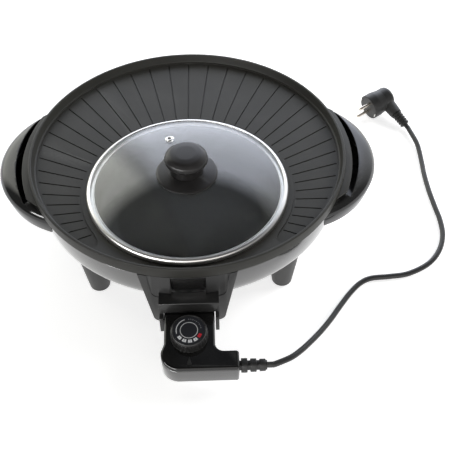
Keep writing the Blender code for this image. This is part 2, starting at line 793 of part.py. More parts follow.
def make_reflector():
    """A thin dish between the element and the bowl's floor, resting on its rim."""
    top = ELEMENT_Z - ELEMENT_TUBE - BOWL_FLOOR_CLEARANCE
    sheet = REFLECTOR_SHEET
    rest = bowl_floor_height(REFLECTOR_RADIUS) + GAP
    profile = [
        (0.0, top), (REFLECTOR_FLAT, top), (REFLECTOR_RADIUS, rest + sheet), (REFLECTOR_RADIUS, rest),
        (REFLECTOR_FLAT, top - sheet), (0.0, top - sheet),
    ]
    dish = settle(
        bpy.data.objects.new("heat_reflector", turned_mesh("heat_reflector", profile, ROUND_MID)),
        RIM, ALUMINIUM,
    )
    combine(dish, terminal_window("reflector_window"))
    weld(dish)
    return dish


# Base bowl and legs


def bowl_outer(offset=0.0):
    """The bowl's outer side from its lip to its floor, moved outwards by offset."""
    lip_top = -BAND_DEPTH - BOWL_LIP_DROP
    lip_low = lip_top - BOWL_LIP_HEIGHT
    side_top = lip_low - BOWL_LINE
    line = BOWL_LINE if offset == 0.0 else 0.0
    steps = 4
    bulge = [
        (
            BOWL_EDGE_RADIUS + (BOWL_LIP_RADIUS - BOWL_LINE / 2 - BOWL_EDGE_RADIUS)
            * math.cos(math.pi / 2 * i / steps),
            side_top + (BOWL_EDGE_ROUND - BOWL_EDGE_DROP - side_top) * math.sin(math.pi / 2 * i / steps),
        )
        for i in range(steps)
    ]
    corner = [
        (
            BOWL_EDGE_RADIUS - BOWL_EDGE_ROUND * (1 - math.cos(math.pi / 2 * i / 2)),
            BOWL_EDGE_ROUND - BOWL_EDGE_DROP - BOWL_EDGE_ROUND * math.sin(math.pi / 2 * i / 2),
        )
        for i in range(3)
    ]
    points = [(BOWL_LIP_RADIUS, lip_top), (BOWL_LIP_RADIUS, lip_low),
              (BOWL_LIP_RADIUS - line, lip_low - line / 2)] + bulge + corner
    points.append((BOWL_FLOOR_RADIUS, BOWL_FLOOR_Z - BOWL_WALL))
    return [(r + offset, z - offset / 2) for r, z in points]


def bowl_inner():
    """The inner side of the bowl's wall, from under its lip to its sloping floor."""
    return [(r - BOWL_WALL, z) for r, z in bowl_outer()[3:-2:2]] + [(BOWL_FLOOR_RADIUS, BOWL_FLOOR_Z)]


def bowl_floor_height(reach):
    """Height of the bowl's sloping floor, on its inner side."""
    (far, high), (near, low) = bowl_inner()[-2:]
    return low + (high - low) * max(0.0, reach - near) / (far - near)


def ear_screw_seat():
    """Radius of the flat middles of the bowl's inner facets, below a screw's head."""
    height = -EAR_SCREW_DROP - EAR_SCREW_HEAD
    points = bowl_inner()
    for (r_top, z_top), (r_low, z_low) in zip(points, points[1:]):
        if z_top >= height >= z_low:
            radius = r_top + (r_low - r_top) * (z_top - height) / (z_top - z_low)
            return radius * math.cos(math.pi / ROUND_LARGE)
    return points[-2][0]


def bowl_keepout(name):
    """A solid a little larger than the bowl, to trim what is fastened to it."""
    outer = bowl_outer(GAP)
    floor = BOWL_FLOOR_Z - BOWL_WALL - GAP
    profile = [(0.0, OVERRUN), (outer[0][0], OVERRUN)] + outer + [(0.0, floor)]
    return cutter(name, turned_mesh(name, profile, ROUND_LARGE), RIM)


def terminal_window(name):
    """The way that the terminals take through the front of the bowl and reflector."""
    half = HOOD_HALF - HOOD_WALL
    back = PIN_BLOCK_REACH - PIN_BLOCK[1] * 3
    size = (2 * half, RIM_RADIUS - back, PIN_DROP + SOCKET_RADIUS + OVERRUN + WELL_UNDERSIDE)
    centre = (0.0, -(RIM_RADIUS + back) / 2, WELL_UNDERSIDE - size[2] / 2)
    return cutter(name, box_mesh(name, size, centre), RIM)


def leg_places():
    places = []
    for y_side, end in ((-1, "front"), (1, "rear")):
        for x_side, hand in ((-1, "left"), (1, "right")):
            x = x_side * LEG_RING_RADIUS * math.cos(LEG_ANGLE)
            y = y_side * LEG_RING_RADIUS * math.sin(LEG_ANGLE)
            places.append((end + "_" + hand, x, y))
    return places


def make_bowl():
    outer = bowl_outer()
    ledge = PAN_UNDERSIDE - GAP
    wall = BOWL_WALL
    top = [(BOWL_LEDGE_RADIUS - BOWL_LEDGE_WIDTH, ledge), (BOWL_LEDGE_RADIUS, ledge),
           (BOWL_LEDGE_RADIUS + wall / 4, outer[0][1])]
    back = [(BOWL_LEDGE_RADIUS - BOWL_LEDGE_WIDTH, outer[1][1])]
    profile = [(0.0, BOWL_FLOOR_Z)] + bowl_inner()[::-1] + back + top + outer
    profile.append((0.0, BOWL_FLOOR_Z - wall))
    bowl = bpy.data.objects.new("base_bowl", turned_mesh("base_bowl", profile, ROUND_LARGE))
    settle(bowl, RIM, GLOSS)
    combine(bowl, terminal_window("bowl_window"))
    depth = 4 * wall
    slots = []
    for i in range(VENT_COUNT):
        heading = 2 * math.pi * (i + 0.5) / VENT_COUNT
        if abs(heading - 1.5 * math.pi) < math.pi / VENT_COUNT * 1.5:
            continue
        slot = box_mesh("vent", (VENT_LENGTH, VENT_WIDTH, depth), (VENT_RING_RADIUS, 0.0, BOWL_FLOOR_Z))
        slot.transform(Matrix.Rotation(heading, 4, "Z"))
        slots.append(slot)
    combine(bowl, cutter("bowl_vents", joined_mesh("bowl_vents", slots), RIM))
    holes = []
    for name, x, y in leg_places():
        ends = ((x, y, -RIM_HEIGHT), (x, y, BOWL_FLOOR_Z + depth))
        holes.append(rod_mesh(name, LEG_SCREW_RADIUS + GAP, *ends))
    for side, turn in EAR_SCREWS:
        holes.append(ear_screw_rod(side, turn, EAR_SCREW_RADIUS + GAP, EAR_SCREW_LENGTH))
    combine(bowl, cutter("screw_holes", joined_mesh("screw_holes", holes), RIM))
    weld(bowl)
    return bowl


def make_legs():
    """Four tapered posts under the bowl, each with a rubber pad let into its foot."""
    foot = PAD_PROUD - RIM_HEIGHT
    for name, x, y in leg_places():
        profile = [
            (0.0, -BOWL_EDGE_DROP), (LEG_TOP_RADIUS, -BOWL_EDGE_DROP),
            (LEG_FOOT_RADIUS, foot + LEG_FOOT_ROUND), (LEG_FOOT_RADIUS - LEG_FOOT_ROUND, foot),
            (0.0, foot),
        ]
        mesh = turned_mesh(name + "_leg", profile, ROUND_SMALL)
        leg = settle(bpy.data.objects.new(name + "_leg", mesh), RIM, LEG_PLASTIC, (x, y, 0.0))
        combine(leg, bowl_keepout(name + "_leg_seat"))
        recess = rod_mesh(
            "pad_recess", PAD_RADIUS + GAP, (x, y, foot - OVERRUN), (x, y, foot + PAD_SEAT + GAP), ROUND_SMALL
        )
        combine(leg, cutter(name + "_pad_recess", recess, RIM))
        under = BOWL_FLOOR_Z - BOWL_WALL
        depth = LEG_SCREW_LENGTH - BOWL_WALL
        bore = rod_mesh("bore", LEG_SCREW_RADIUS + GAP, (x, y, under - depth - OVERRUN), (x, y, OVERRUN))
        combine(leg, cutter(name + "_bore", bore, RIM))
        weld(leg)
        pad = rod_mesh("pad", PAD_RADIUS, (x, y, -RIM_HEIGHT), (x, y, foot + PAD_SEAT), ROUND_SMALL)
        settle(bpy.data.objects.new(name + "_foot_pad", pad), RIM, PAD_RUBBER)
        seat = bowl_floor_height(math.hypot(x, y) + LEG_SCREW_HEAD)
        head = [(0.0, seat + GAP + LEG_SCREW_RADIUS), (LEG_SCREW_HEAD, seat + GAP + LEG_SCREW_RADIUS / 2),
                (LEG_SCREW_HEAD, seat + GAP), (LEG_SCREW_RADIUS, seat + GAP),
                (LEG_SCREW_RADIUS, under - depth), (0.0, under - depth)]
        screw = turned_mesh("leg_screw", head, ROUND_TINY)
        settle(bpy.data.objects.new(name + "_leg_screw", screw), RIM, STEEL, (x, y, 0.0))


# Handle ears


EAR_SCREWS = [(side, turn) for side in (-1, 1) for turn in (-1, 1)]


def ear_screw_ends(side, turn, start, end):
    """Two places along the axis of one of the screws that hold an ear to the bowl."""
    heading = (0.0 if side > 0 else math.pi) + turn * EAR_SCREW_ANGLE
    ahead = Vector((math.cos(heading), math.sin(heading), 0.0))
    base = Vector((0.0, 0.0, -EAR_SCREW_DROP))
    return base + ahead * start, base + ahead * end


def ear_screw_rod(side, turn, radius, length):
    """A rod on a screw's axis, from inside the bowl's wall outwards."""
    start = ear_screw_seat()
    return rod_mesh("ear_screw", radius, *ear_screw_ends(side, turn, start - OVERRUN, start + length))


def make_ear_screws():
    for side, turn in EAR_SCREWS:
        seat = ear_screw_seat() - GAP
        ends = ear_screw_ends(side, turn, seat, seat + EAR_SCREW_LENGTH)
        profile = [
            (0.0, EAR_SCREW_LENGTH), (EAR_SCREW_RADIUS, EAR_SCREW_LENGTH - EAR_SCREW_RADIUS),
            (EAR_SCREW_RADIUS, 0.0), (EAR_SCREW_HEAD, 0.0), (EAR_SCREW_HEAD, -EAR_SCREW_RADIUS / 2),
            (EAR_SCREW_HEAD / 2, -EAR_SCREW_RADIUS), (0.0, -EAR_SCREW_RADIUS),
        ]
        name = ("right" if side > 0 else "left") + "_handle_screw_" + ("rear" if turn * side > 0 else "front")
        mesh = turned_mesh(name, profile, ROUND_TINY)
        aim = (ends[1] - ends[0]).to_track_quat("Z", "Y").to_matrix().to_4x4()
        settle(bpy.data.objects.new(name, mesh), RIM, STEEL, ends[0], aim)


def ear_body(name, wall):
    """A solid about the ear's own upright axis, with a brow that rounds over to its side."""
    steps = 4
    reach = EAR_RADIUS - EAR_BROW_RADIUS - wall
    fall = EAR_EDGE_DROP - EAR_TOP_DROP - wall
    brow = []
    for i in range(steps + 1):
        angle = math.pi / 2 * i / steps
        brow.append((EAR_BROW_RADIUS + reach * math.sin(angle), -EAR_EDGE_DROP + fall * math.cos(angle)))
    floor = wall - EAR_BOTTOM_DROP
    profile = [(0.0, -EAR_TOP_DROP - wall)] + brow + [(EAR_RADIUS - EAR_TUCK - wall, floor), (0.0, floor)]
    return turned_mesh(name, profile, ROUND_LID)


def slot_outline(heading, inner):
    """The finger slot's plan, widest in its middle, from the inner radius out."""
    steps = 12
    side = math.cos(heading)
    centre = (side * EAR_SLOT_CENTRE, 0.0)
    radius = RIM_RADIUS + LUG_WIDTH + EAR_SLOT - EAR_SLOT_CENTRE
    outside = []
    for i in range(steps + 1):
        turn = heading + EAR_SLOT_ANGLE * (2 * i / steps - 1)
        reach = ray_to_circle((0.0, 0.0), turn, centre, radius)
        outside.append((reach * math.cos(turn), reach * math.sin(turn)))
    return outside + arc((0.0, 0.0), inner, heading + EAR_SLOT_ANGLE, heading - EAR_SLOT_ANGLE, steps)


def make_ear(side, name):
    """A hollow crescent ear, closed below, with a finger slot beside the pan's lug."""
    heading = 0.0 if side > 0 else math.pi
    place = Matrix.Translation((side * EAR_CENTRE, 0.0, 0.0))
    mesh = ear_body(name, 0.0)
    mesh.transform(place)
    ear = settle(bpy.data.objects.new(name, mesh), RIM, GLOSS)
    hollow = ear_body("ear_hollow", EAR_WALL)
    hollow.transform(place)
    hollow = cutter(name + "_hollow", hollow, RIM)
    back = RIM_RADIUS + GAP + EAR_WALL
    wall = [(0.0, OVERRUN), (back, OVERRUN), (back, -RIM_HEIGHT), (0.0, -RIM_HEIGHT)]
    combine(hollow, cutter(name + "_back", turned_mesh("ear_back", wall, ROUND_LARGE), RIM))
    combine(ear, hollow)
    slot = outline_mesh("finger_slot", slot_outline(heading, back - EAR_WALL / 2), -EAR_EDGE_DROP, OVERRUN)
    combine(ear, cutter(name + "_slot", slot, RIM))
    room = outline_mesh(
        "lug_room", lug_outline(heading, RIM_RADIUS - EAR_WALL, GAP), LUG_TOP - LUG_THICKNESS - GAP, OVERRUN
    )
    combine(ear, cutter(name + "_lug_room", room, RIM))
    combine(ear, bowl_keepout(name + "_seat"))
    rim = turned_mesh(
        "rim_room",
        [(0.0, OVERRUN), (RIM_RADIUS + GAP, OVERRUN), (RIM_RADIUS + GAP, -BAND_DEPTH - GAP),
         (0.0, -BAND_DEPTH - GAP)],
        ROUND_LARGE,
    )
    combine(ear, cutter(name + "_rim_room", rim, RIM))
    bores = [
        ear_screw_rod(side, turn, EAR_SCREW_RADIUS + GAP, EAR_SCREW_LENGTH + GAP) for turn in (-1, 1)
    ]
    combine(ear, cutter(name + "_bores", joined_mesh("bores", bores), RIM))
    weld(ear)
    return ear


# Lid


def dome(radius):
    """Height of the glass's upper side at a radius from the lid's axis."""
    return GLASS_EDGE_TOP + LID_RISE - DOME_RADIUS + math.sqrt(DOME_RADIUS ** 2 - radius ** 2)


def make_glass():
    steps = 4
    radii = [KNOB_HOLE + (GLASS_EDGE - KNOB_HOLE) * i / steps for i in range(steps + 1)]
    upper = [(r, dome(r)) for r in radii]
    lower = [(r, dome(r) - GLASS_THICKNESS) for r in reversed(radii)]
    glass = bpy.data.objects.new("glass_lid", turned_mesh("glass_lid", upper + lower, ROUND_LID))
    settle(glass, LID, GLASS)
    hole = rod_mesh("vent_hole", VENT_HOLE, (0.0, 0.0, -2 * GLASS_THICKNESS), (0.0, 0.0, GLASS_THICKNESS))
    combine(glass, cutter("vent_hole", hole, LID, *vent_seat()))
    weld(glass)
    return glass


def vent_seat():
    """Place and tilt of the steam vent, square to the dome."""
    x, y = VENT_PLACE
    radius = math.hypot(x, y)
    slope = math.asin(radius / DOME_RADIUS)
    axis = Vector((-y, x, 0.0)).normalized()
    return (x, y, dome(radius)), Matrix.Rotation(slope, 4, axis)


def make_grommet():
    tube = VENT_HOLE - GAP
    lip = GAP + VENT_SHEET
    profile = [
        (VENT_BORE, lip * 1.5), (tube, lip * 1.5), (VENT_FLANGE, GAP + VENT_SHEET / 2),
        (VENT_FLANGE, GAP), (tube, GAP), (tube, -GLASS_THICKNESS - GAP),
        (VENT_FLANGE - lip, -GLASS_THICKNESS - GAP), (VENT_FLANGE - lip, -GLASS_THICKNESS - lip),
        (VENT_BORE, -GLASS_THICKNESS - lip),
    ]
    mesh = turned_mesh("steam_vent_grommet", profile, ROUND_TINY)
    settle(bpy.data.objects.new("steam_vent_grommet", mesh), LID, STEEL, *vent_seat())


def make_lid_band():
    """A folded steel channel round the glass's edge."""
    sheet = BAND_SHEET
    inside = LID_RADIUS - BAND_WIDTH
    edge = GLASS_EDGE + GAP
    low = SEAT_TOP + GAP
    lift = GAP + sheet
    profile = [
        (inside, dome(inside) + GAP), (inside, dome(inside) + lift),
        (edge, dome(GLASS_EDGE) + lift), (LID_RADIUS, dome(GLASS_EDGE) - sheet), (LID_RADIUS, low + sheet),
        (LID_RADIUS - sheet, low), (inside + sheet, low), (inside + sheet, low + sheet), (edge, low + sheet),
        (edge, dome(GLASS_EDGE) + GAP),
    ]
    mesh = turned_mesh("lid_rim_band", profile, ROUND_LID)
    settle(bpy.data.objects.new("lid_rim_band", mesh), LID, STEEL)


def make_knob():
    foot = dome(FLANGE_RADIUS) + GAP
    crown = foot + FLANGE_EDGE + FLANGE_RISE
    hole = KNOB_HOLE
    flange = [
        (hole, crown), (NECK_RADIUS, crown), (NECK_RADIUS + FLANGE_EDGE, crown - FLANGE_RISE / 4),
        (FLANGE_RADIUS - FLANGE_EDGE, foot + FLANGE_EDGE * 1.4), (FLANGE_RADIUS, foot + FLANGE_EDGE / 2),
        (FLANGE_RADIUS, foot), (NECK_RADIUS, dome(NECK_RADIUS) + GAP), (hole, dome(hole) + GAP),
    ]
    mesh = turned_mesh("knob_flange", flange, ROUND_MID)
    settle(bpy.data.objects.new("knob_flange", mesh), LID, KNOB_PLASTIC)
    low = crown + GAP
    shoulder = low + NECK_HEIGHT
    steps = 4
    edge = [
        (CAP_RADIUS - CAP_EDGE_HEIGHT * 0.5 * (1 - math.sin(math.pi * (i + 0.5) / (steps + 1))),
         shoulder + CAP_EDGE_HEIGHT * (1 - (i + 0.5) / (steps + 1)))
        for i in range(steps)
    ]
    top = shoulder + CAP_EDGE_HEIGHT + CAP_CROWN
    knob = [
        (0.0, top), (CAP_RADIUS * 0.45, top - CAP_CROWN * 0.18), (CAP_RADIUS * 0.75, top - CAP_CROWN * 0.6),
    ] + edge + [
        (NECK_RADIUS, shoulder), (NECK_RADIUS, low),
        (KNOB_BORE, low), (KNOB_BORE, low + KNOB_BORE_DEPTH), (0.0, low + KNOB_BORE_DEPTH),
    ]
    mesh = turned_mesh("lid_knob", knob, ROUND_MID)
    settle(bpy.data.objects.new("lid_knob", mesh), LID, KNOB_PLASTIC)
    under = dome(WASHER_RADIUS) - GLASS_THICKNESS - GAP
    washer = [
        (KNOB_HOLE, under), (WASHER_RADIUS, under), (WASHER_RADIUS, under - WASHER_SHEET),
        (KNOB_HOLE, under - WASHER_SHEET),
    ]
    mesh = turned_mesh("knob_washer", washer, ROUND_SMALL)
    settle(bpy.data.objects.new("knob_washer", mesh), LID, PAD_RUBBER)
    head = under - WASHER_SHEET - GAP
    tip = low + KNOB_BORE_DEPTH * 0.8
    screw = [
        (0.0, tip), (SCREW_RADIUS, tip - SCREW_RADIUS), (SCREW_RADIUS, head), (SCREW_HEAD_RADIUS, head),
        (SCREW_HEAD_RADIUS, head - SCREW_HEAD / 2), (SCREW_HEAD_RADIUS / 2, head - SCREW_HEAD),
        (0.0, head - SCREW_HEAD),
    ]
    mesh = turned_mesh("knob_screw", screw, ROUND_TINY)
    settle(bpy.data.objects.new("knob_screw", mesh), LID, STEEL)


# Socket guard


def front_outline(name, corners, near, far):
    """An outline of (x, drop) corners, as seen from the front, pushed through in Y."""
    flat = outline_mesh(name, rounded([(x, -drop, r, n) for x, drop, r, n in corners]), near, far)
    flat.transform(Matrix.Rotation(math.pi / 2, 4, "X"))
    return flat


def guard_plan(inner, outer, half_width, steps=12):
    """A sector of the guard's wall, a little wider than half_width either side."""
    return ring_sector(inner, outer, math.asin(half_width / outer) * 1.2, steps, -math.pi / 2)


def make_guard():
    """A curved shield with a hooded mouth for the control's nose."""
    outer = GUARD_RADIUS
    inner = outer - GUARD_WALL
    near = inner - GUARD_TOP_HALF
    far = outer + OVERRUN
    slab = outline_mesh(
        "guard", guard_plan(inner, outer, GUARD_TOP_HALF), -GUARD_BOTTOM_DROP - OVERRUN, -GUARD_TOP_DROP
    )
    guard = settle(bpy.data.objects.new("socket_guard", slab), RIM, SATIN)
    top = OVERRUN - GUARD_TOP_DROP
    sides = front_outline(
        "guard_outline",
        [(-GUARD_TOP_HALF, -top, 0.0, 0), (GUARD_TOP_HALF, -top, 0.0, 0),
         (GUARD_BOTTOM_HALF, GUARD_BOTTOM_DROP, GUARD_CORNER, 3),
         (-GUARD_BOTTOM_HALF, GUARD_BOTTOM_DROP, GUARD_CORNER, 3)],
        near, far,
    )
    combine(guard, cutter("guard_outline", sides, RIM), "INTERSECT")
    recess = outline_mesh(
        "guard_panel", guard_plan(outer - PANEL_DEPTH, outer + OVERRUN, PANEL_TOP_HALF),
        -PANEL_DROP - OVERRUN, OVERRUN,
    )
    panel = cutter("guard_panel", recess, RIM)
    shape = front_outline(
        "panel_outline",
        [(-PANEL_TOP_HALF, 0.0, 0.0, 0), (PANEL_TOP_HALF, 0.0, 0.0, 0),
         (PANEL_BOTTOM_HALF, PANEL_DROP, GUARD_CORNER, 3), (-PANEL_BOTTOM_HALF, PANEL_DROP, GUARD_CORNER, 3)],
        near, far + OVERRUN,
    )
    combine(panel, cutter("panel_outline", shape, RIM), "INTERSECT")
    combine(guard, panel)
    combine(guard, hood_block(), "UNION")
    low = HOOD_TOP_DROP - HOOD_WALL
    window = box_mesh(
        "guard_window", (2 * WINDOW_HALF, far - near, low - WINDOW_TOP_DROP),
        (0.0, -(near + far) / 2, -(low + WINDOW_TOP_DROP) / 2),
    )
    combine(guard, cutter("guard_window", window, RIM))
    roof = HOOD_TOP_DROP + HOOD_ROOF
    low = GUARD_BOTTOM_DROP + OVERRUN
    mouth = box_mesh(
        "hood_mouth", (2 * (HOOD_HALF - HOOD_WALL), ARM_REACH + OVERRUN - near, low - roof),
        (0.0, -(ARM_REACH + OVERRUN + near) / 2, -(low + roof) / 2),
    )
    combine(guard, cutter("hood_mouth", mouth, RIM))
    weld(guard)
    return guard


def hood_block():
    """The solid from which the hood's roof and two side arms are cut."""
    back = GUARD_RADIUS * math.cos(math.asin(HOOD_HALF / GUARD_RADIUS)) - GUARD_WALL
    arms = outline_mesh(
        "hood_arms",
        rounded([
            (-ARM_REACH, -HOOD_BOTTOM_DROP, HOOD_WALL, 3), (-back, -HOOD_BOTTOM_DROP, 0.0, 0),
            (-back, -HOOD_TOP_DROP, 0.0, 0), (-HOOD_REACH, -HOOD_TOP_DROP, 0.0, 0),
            (-HOOD_REACH, -HOOD_TOP_DROP - HOOD_ROOF - OVERRUN, 0.0, 0),
            (-ARM_REACH, -HOOD_TOP_DROP - HOOD_ROOF - 2 * OVERRUN, HOOD_WALL / 2, 3),
        ]),
        -HOOD_HALF, HOOD_HALF,
    )
    turn = Matrix(((0.0, 0.0, 1.0, 0.0), (1.0, 0.0, 0.0, 0.0), (0.0, 1.0, 0.0, 0.0), (0.0, 0.0, 0.0, 1.0)))
    arms.transform(turn)
    tool = cutter("hood_arms", arms, RIM)
    middle = GUARD_RADIUS - GUARD_WALL / 2
    steps = 12
    core = arc((0.0, 0.0), middle, -math.pi * 0.65, -math.pi * 0.35, steps) + [(0.0, 0.0)]
    wall = outline_mesh("hood_back", core, -GUARD_BOTTOM_DROP, 0.0)
    combine(tool, cutter("hood_back", wall, RIM))
    return tool


# Control


def control_outline(inset=0.0):
    """The control's plan: a nose, a round shoulder and a side arm for the cord."""
    half = CONTROL_HALF - inset
    front = -CONTROL_REACH + inset
    arm_back = front + CONTROL_ARM_WIDTH - 2 * inset
    return rounded([
        (-half, -CONTROL_BACK - inset, 0.0, 0), (-half, CONTROL_FLARE_LENGTH - CONTROL_FLARE_REACH, 0.0, 0),
        (-CONTROL_FLARE + inset, -CONTROL_FLARE_REACH, 0.0, 0),
        (-CONTROL_FLARE + inset, front, CONTROL_CORNER, 6),
        (CONTROL_ARM - inset, front, CONTROL_EDGE * 2, 3),
        (CONTROL_ARM - inset, arm_back, CONTROL_EDGE * 2, 3),
        (half, arm_back, CONTROL_INNER_ROUND, 5), (half, -CONTROL_BACK - inset, 0.0, 0),
    ])


def cavity_box(name, low, high):
    half = CONTROL_HALF - CONTROL_WALL
    size = (2 * half, CONTROL_CAVITY_FRONT - CONTROL_CAVITY_BACK, high - low)
    centre = (0.0, -(CONTROL_CAVITY_FRONT + CONTROL_CAVITY_BACK) / 2, (low + high) / 2)
    return cutter(name, box_mesh(name, size, centre), CONTROL)


def make_control_cases():
    bottom = -CONTROL_BOTTOM_DROP
    split = -CONTROL_SPLIT_DROP
    shell = outline_mesh("controller_lower_case", control_outline(), bottom, split - GAP)
    lower = settle(bpy.data.objects.new("controller_lower_case", shell), CONTROL, GLOSS)
    soften(lower, CONTROL_EDGE)
    combine(lower, cavity_box("lower_cavity", bottom + CONTROL_WALL, split + OVERRUN))
    holes = []
    nose = -CONTROL_BACK + OVERRUN
    inside = -CONTROL_CAVITY_BACK - OVERRUN
    for x, radius in ((-PIN_SPACING / 2, PIN_RADIUS + 2 * GAP), (PIN_SPACING / 2, PIN_RADIUS + 2 * GAP),
                      (0.0, PROBE_RADIUS + GAP)):
        holes.append(rod_mesh("nose_hole", radius, (x, nose, -PIN_DROP), (x, inside, -PIN_DROP)))
    combine(lower, cutter("nose_holes", joined_mesh("nose_holes", holes), CONTROL))
    seat = rod_mesh(
        "relief_seat", RELIEF_CORE + GAP, (CONTROL_ARM - RELIEF_SEAT - GAP, -RELIEF_REACH, -RELIEF_DROP),
        (CONTROL_ARM + OVERRUN, -RELIEF_REACH, -RELIEF_DROP), ROUND_SMALL,
    )
    combine(lower, cutter("relief_seat", seat, CONTROL))
    shell = outline_mesh("controller_upper_case", control_outline(), split, -CONTROL_TOP_DROP + OVERRUN * 2)
    upper = settle(bpy.data.objects.new("controller_upper_case", shell), CONTROL, GLOSS)
    reach = CONTROL_REACH - CONTROL_BACK
    slab = box_mesh("slope", (4 * CONTROL_ARM, 4 * reach, reach), (0.0, 0.0, reach / 2))
    combine(upper, cutter("top_slope", slab, DIAL))
    soften(upper, CONTROL_EDGE, 2)
    fall = (CONTROL_CAVITY_FRONT - CONTROL_TOP_REACH) * math.tan(CONTROL_SLOPE)
    combine(upper, cavity_box("upper_cavity", split - OVERRUN, -CONTROL_TOP_DROP - CONTROL_WALL - fall))
    bore = rod_mesh("spindle_bore", SPINDLE_RADIUS + GAP, (0.0, 0.0, -DIAL_RADIUS), (0.0, 0.0, OVERRUN))
    combine(upper, cutter("spindle_bore", bore, DIAL))
    combine(upper, pointer(), "UNION")
    screw_bores = []
    seat = case_screw_seat()
    for x, reach in CASE_SCREW_PLACES:
        low = (x, -reach, bottom - OVERRUN)
        screw_bores.append(rod_mesh("bore", CASE_SCREW_HEAD + GAP, low, (x, -reach, seat)))
        end = (x, -reach, seat + CASE_SCREW_LENGTH + GAP)
        screw_bores.append(rod_mesh("bore", CASE_SCREW_RADIUS + GAP, low, end))
    tool = cutter("case_screw_bores", joined_mesh("case_screw_bores", screw_bores), CONTROL)
    combine(lower, tool).use_self = True
    combine(upper, tool).use_self = True
    weld(lower)
    weld(upper)
    return lower, upper


def case_screw_seat():
    return -CONTROL_BOTTOM_DROP + CONTROL_WALL


def pointer():
    """The moulded mark on the control's top that the dial is read against."""
    half = POINTER_WIDTH / 2
    middle = -POINTER_REACH + DIAL_REACH
    low = middle - POINTER_LENGTH / 2
    plan = [(0.0, middle + POINTER_LENGTH / 2), (-half, low), (half, low)]
    mesh = outline_mesh("pointer", plan, -POINTER_HEIGHT, POINTER_HEIGHT)
    return cutter("pointer", mesh, DIAL)


def make_dial():
    """A knurled dial on a spindle, with a printed disc let into its top."""
    low = GAP
    high = low + DIAL_HEIGHT
    skirt = DIAL_HEIGHT - 2 * DIAL_FACE_RECESS

    def builder(work):
        made = bmesh.ops.create_cone(
            work, cap_ends=True, segments=2 * DIAL_KNURLS, radius1=DIAL_RADIUS, radius2=DIAL_TOP_RADIUS,
            depth=skirt, matrix=Matrix.Translation((0.0, 0.0, low + skirt / 2)),
        )
        for vert in made["verts"]:
            turn = round(math.atan2(vert.co.y, vert.co.x) / math.pi * DIAL_KNURLS)
            radius = math.hypot(vert.co.x, vert.co.y)
            if turn % 2 and radius > 0.0:
                share = 1 - DIAL_KNURL_DEPTH / radius
                vert.co.x *= share
                vert.co.y *= share

    dial = settle(bpy.data.objects.new("controller_dial", mesh_from(builder, "controller_dial")), DIAL, GLOSS)
    shade(dial.data)
    brow = DIAL_TOP_RADIUS - 2 * DIAL_KNURL_DEPTH
    crown = turned_mesh(
        "dial_crown",
        [(0.0, high), (brow - DIAL_FACE_RECESS, high), (brow, high - DIAL_FACE_RECESS),
         (brow, low + skirt / 2), (0.0, low + skirt / 2)],
        ROUND_MID,
    )
    combine(dial, cutter("dial_crown", crown, DIAL), "UNION")
    ends = ((0.0, 0.0, high - DIAL_FACE_RECESS), (0.0, 0.0, high + OVERRUN))
    recess = rod_mesh("face_recess", DIAL_FACE_RADIUS + GAP, *ends, ROUND_MID)
    combine(dial, cutter("face_recess", recess, DIAL))
    bore = rod_mesh("dial_bore", DIAL_BORE, (0.0, 0.0, low - OVERRUN), (0.0, 0.0, low + DIAL_BORE_DEPTH))
    combine(dial, cutter("dial_bore", bore, DIAL))
    face_low = high - DIAL_FACE_RECESS + GAP
    ends = ((0.0, 0.0, face_low), (0.0, 0.0, face_low + DIAL_FACE_SHEET))
    face = rod_mesh("face", DIAL_FACE_RADIUS, *ends, ROUND_MID)
    settle(bpy.data.objects.new("dial_face_disc", face), DIAL, DIAL_PRINT)
    stem_low = (switch_top() + GAP - DIAL_TOP_Z) / math.cos(CONTROL_SLOPE)
    stem_low += SPINDLE_RADIUS * math.sin(CONTROL_SLOPE)
    stem = rod_mesh("spindle", SPINDLE_RADIUS, (0.0, 0.0, stem_low), (0.0, 0.0, low + DIAL_BORE_DEPTH - GAP))
    settle(bpy.data.objects.new("dial_spindle", stem), DIAL, BRASS)


def switch_top():
    return -CONTROL_SPLIT_DROP + SWITCH_SIZE[2] / 4


